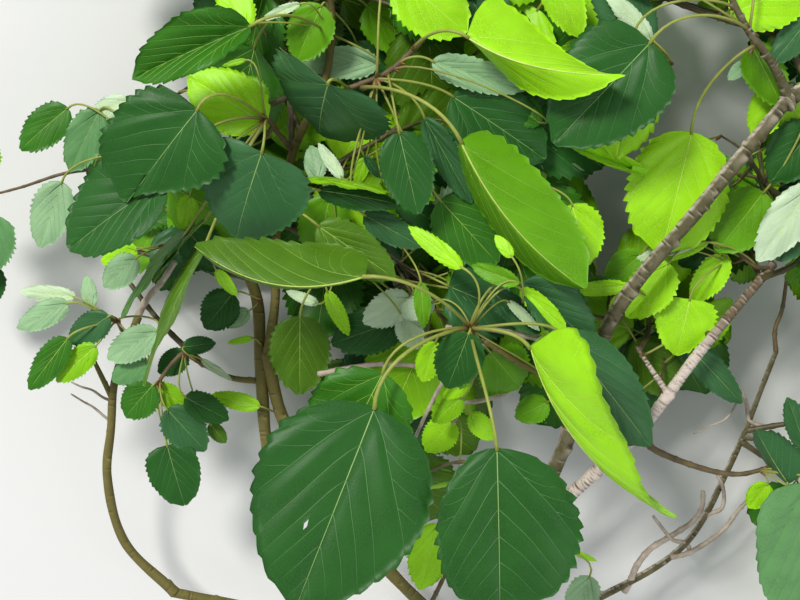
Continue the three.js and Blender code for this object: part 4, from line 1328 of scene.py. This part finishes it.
# twigs the picture shows: those that carry the shoots, and the bare ones between the leaves
shownTwigs = {  # colour, slot, and each twig's radii in mm and line
    "shootTwigs": ((0.175, 0.125, 0.055), "bark_tan", [
        (2.1, 1.6, [(292, 150, 134), (273, 126, 158), (266, 112, 176)]),
        (1.7, 1.2, [(273, 126, 158), (263, 141, 164)]),
        (2.6, 1.8, [(320, -52, 140), (396, -66, 150), (446, -26, 160), (434, 22, 176), (413, 50, 190),
                    (386, 73, 190), (347, 89, 188)]),
        (1.7, 1.3, [(277, 224, 121), (310, 236, 126), (340, 252, 128)]),
        (1.9, 1.3, [(430, 606, 50), (449, 562, 72), (452, 520, 88)]),
        (1.9, 1.4, [(126, 336, 88), (121, 328, 102), (117, 320, 113)]),
        (1.7, 1.4, [(199, 362, 111), (191, 357, 112), (184, 353, 113), (170, 366, 113), (160, 380, 112)]),
        (2.6, 1.6, [(640, 433, 116), (651, 447, 112), (663, 454, 110), (701, 468, 106), (722, 473, 104),
                    (742, 474, 104), (760, 470, 104), (772, 466, 104)]),
        (1.9, 1.3, [(776, 352, 84), (775, 330, 87), (782, 310, 90), (787, 275, 96)]),
        (1.7, 1.2, [(771, 268, 122), (757, 267, 128), (744, 258, 132), (735, 247, 132), (722, 241, 134)]),
        (1.4, 1.1, [(744, 258, 132), (736, 262, 124), (728, 262, 118)]),
        (1.5, 1.1, [(283, 190, 127), (284, 186, 131)]),
        (1.9, 0.9, [(213, 180, 118), (184, 162, 120), (150, 150, 120), (108, 166, 115), (62, 174, 112),
                    (22, 187, 110), (-12, 196, 108)]),
        (1.5, 1.1, [(385, 365, 132), (395, 350, 130)]),
    ]),
    "bareTwigs": ((0.60, 0.50, 0.40), "bark_pale", [
        (2.7, 2.0, [(138, 316, 95), (148, 297, 104), (161, 283, 112), (175, 262, 120)]),
        (2.9, 1.8, [(624, 592, 44), (631, 580, 47), (636, 567, 50), (650, 549, 53), (666, 539, 55),
                    (679, 531, 57), (693, 521, 58), (702, 507, 60), (703, 491, 62)]),
        (2.3, 1.6, [(671, 557, 54), (686, 554, 55), (709, 541, 57), (726, 527, 59), (737, 512, 60),
                    (747, 501, 61)]),
        (1.9, 1.3, [(702, 519, 58), (709, 514, 60), (721, 509, 62), (724, 499, 64), (722, 484, 66),
                    (718, 476, 67)]),
        (1.9, 1.2, [(766, 428, 72), (749, 420, 74), (747, 406, 75), (741, 391, 76), (732, 380, 77),
                    (724, 366, 78)]),
        (1.0, 0.7, [(741, 391, 76), (734, 408, 74), (724, 420, 73), (709, 426, 72), (693, 434, 71)]),
        (1.7, 1.2, [(690, 550, 53), (686, 543, 55), (673, 540, 57), (663, 529, 59), (653, 516, 61)]),
        (1.2, 0.6, [(113, 401, 72), (104, 398, 74), (92, 390, 76), (82, 387, 78), (71, 382, 79)]),
        (1.2, 0.6, [(112, 422, 70), (105, 417, 72), (93, 407, 74), (84, 402, 76), (71, 394, 78)]),
        (1.8, 1.2, [(484, 343, 186), (460, 364, 168), (443, 382, 158), (428, 410, 150), (414, 440, 144)]),
        (1.9, 1.3, [(521, 384, 128), (503, 394, 126), (480, 401, 124), (463, 404, 122), (455, 420, 118),
                    (440, 442, 112)]),
        (2.9, 1.8, [(600, 347, 147), (566, 343, 155), (532, 337, 163), (487, 329, 168), (446, 327, 166)]),
        (2.2, 1.5, [(318, 374, 128), (350, 368, 128), (380, 364, 130), (424, 366, 132)]),
    ]),
}
shownStep = 2 * mm
for name, (colour, slot, lines) in shownTwigs.items():
    mesh = Mesh()
    for *radii, line in lines:
        path = curveThrough([seen(x, y, z * mm) for x, y, z in line], shownStep)
        addStem(mesh, path, np.array(radii) * mm)
    mesh.piece(name, [plainFinish(name + "Bark", colour, 0.6, 0.65)], masses, slot)

buds = {"length": (4.5 * mm, 8 * mm), "radius": 1.15 * mm, "onGrown": 4}  # one on every fourth grown stalk


def addBuds(mesh, rows):
    # a bud sits above each stalk's foot: a spindle, fattest a third of the way up
    node = np.array([row["node"] for row in rows])
    way = unit(np.array([row["base"] for row in rows]) - node)
    way = unit(way + np.array([0, 0, 0.8]) + dice.normal(size=way.shape) * 0.25)
    length = dice.uniform(*buds["length"], (len(rows), 1, 1))
    t = np.linspace(0, 1, 5)
    paths = node[:, None] + way[:, None] * length * t[None, :, None]
    radii = buds["radius"] * (0.12 + (t ** 0.5 * (1 - t) * 2.6))[None] * np.ones((len(rows), 1))
    tubes(mesh, paths, radii)


mesh = Mesh()
addBuds(mesh, leaves + grown[::buds["onGrown"]])
mesh.piece("buds", [plainFinish("budScales", (0.20, 0.085, 0.030), 0.6, 0.35)], masses, "bark_tan")

for tone, mesh in bladePieces.items():
    top, under, slot, _ = tones[tone]
    margin = tuple(c + marginPaleness * (v - c) for c, v in zip(top, veinShades["dark"][0]))
    skins = [leafFinish("leaf" + tone.title(), top, leafSkin["upperGloss"]),
             leafFinish("under" + tone.title(), under, leafSkin["underGloss"]),
             plainFinish("margin" + tone.title(), margin)]
    mesh.piece("leaves" + tone.title(), skins, masses, slot)
for shade, mesh in veins.items():
    midrib, sideVein, slot = veinShades[shade]
    skins = [plainFinish("midrib" + shade.title(), midrib),
             plainFinish("sideVein" + shade.title(), sideVein)]
    mesh.piece("veins" + shade.title(), skins, masses, slot)
stalkSkin = plainFinish("stalkSkin", (0.36, 0.42, 0.07), 0.8, foot=(0.20, 0.15, 0.05))
stalks.piece("leafStalks", [stalkSkin], masses, "leaf_bright")


# Floor, light and camera

studio = {
    "floor": 40,  # metres across
    "floorColour": (0.80, 0.80, 0.79),
    "skyColour": (0.94, 0.97, 1.0),
    "sky": 0.46,
}
lights = {  # place, size, watts and colour
    "key": ((-2.0, 2.2, 4.0), 1.0, 190, (1.0, 0.98, 0.94)),
    "fill": ((2.6, -1.6, 3.0), 2.4, 30, (0.94, 0.97, 1.0)),
}


def makeFloor():
    # a flat square, wide enough to fill every view
    bpy.ops.mesh.primitive_plane_add(size=studio["floor"])
    floor = bpy.context.object
    floor.name = "floor"
    material, _, shader = newMaterial("paleFloor")
    shader.inputs["Base Color"].default_value = (*studio["floorColour"], 1)
    shader.inputs["Roughness"].default_value = 0.9
    floor.data.materials.append(material)


def makeLight(name, place, size, power, colour):
    # a square lamp that faces the middle of the floor
    lamp = bpy.data.lights.new(name, "AREA")
    lamp.size = size
    lamp.energy = power
    lamp.color = colour
    thing = bpy.data.objects.new(name, lamp)
    bpy.context.scene.collection.objects.link(thing)
    thing.location = place
    thing.rotation_euler = (-Vector(place)).to_track_quat("-Z", "Y").to_euler()


def makeCamera():
    # looks straight down, as a camera with no turn does
    lens = bpy.data.cameras.new("camera")
    lens.lens = camera["lens"]
    lens.sensor_width = camera["sensor"]
    lens.clip_start = 0.01
    thing = bpy.data.objects.new("camera", lens)
    thing.location = (*camera["over"], camera["height"])
    bpy.context.scene.collection.objects.link(thing)
    bpy.context.scene.camera = thing


makeFloor()
for name, light in lights.items():
    makeLight(name, *light)
world = bpy.data.worlds.new("studio")
world.use_nodes = True
sky = world.node_tree.nodes["Background"]
sky.inputs["Color"].default_value = (*studio["skyColour"], 1)
sky.inputs["Strength"].default_value = studio["sky"]
bpy.context.scene.world = world
bpy.context.scene.view_settings.view_transform = "Standard"
makeCamera()
print("floor, lights and camera set")
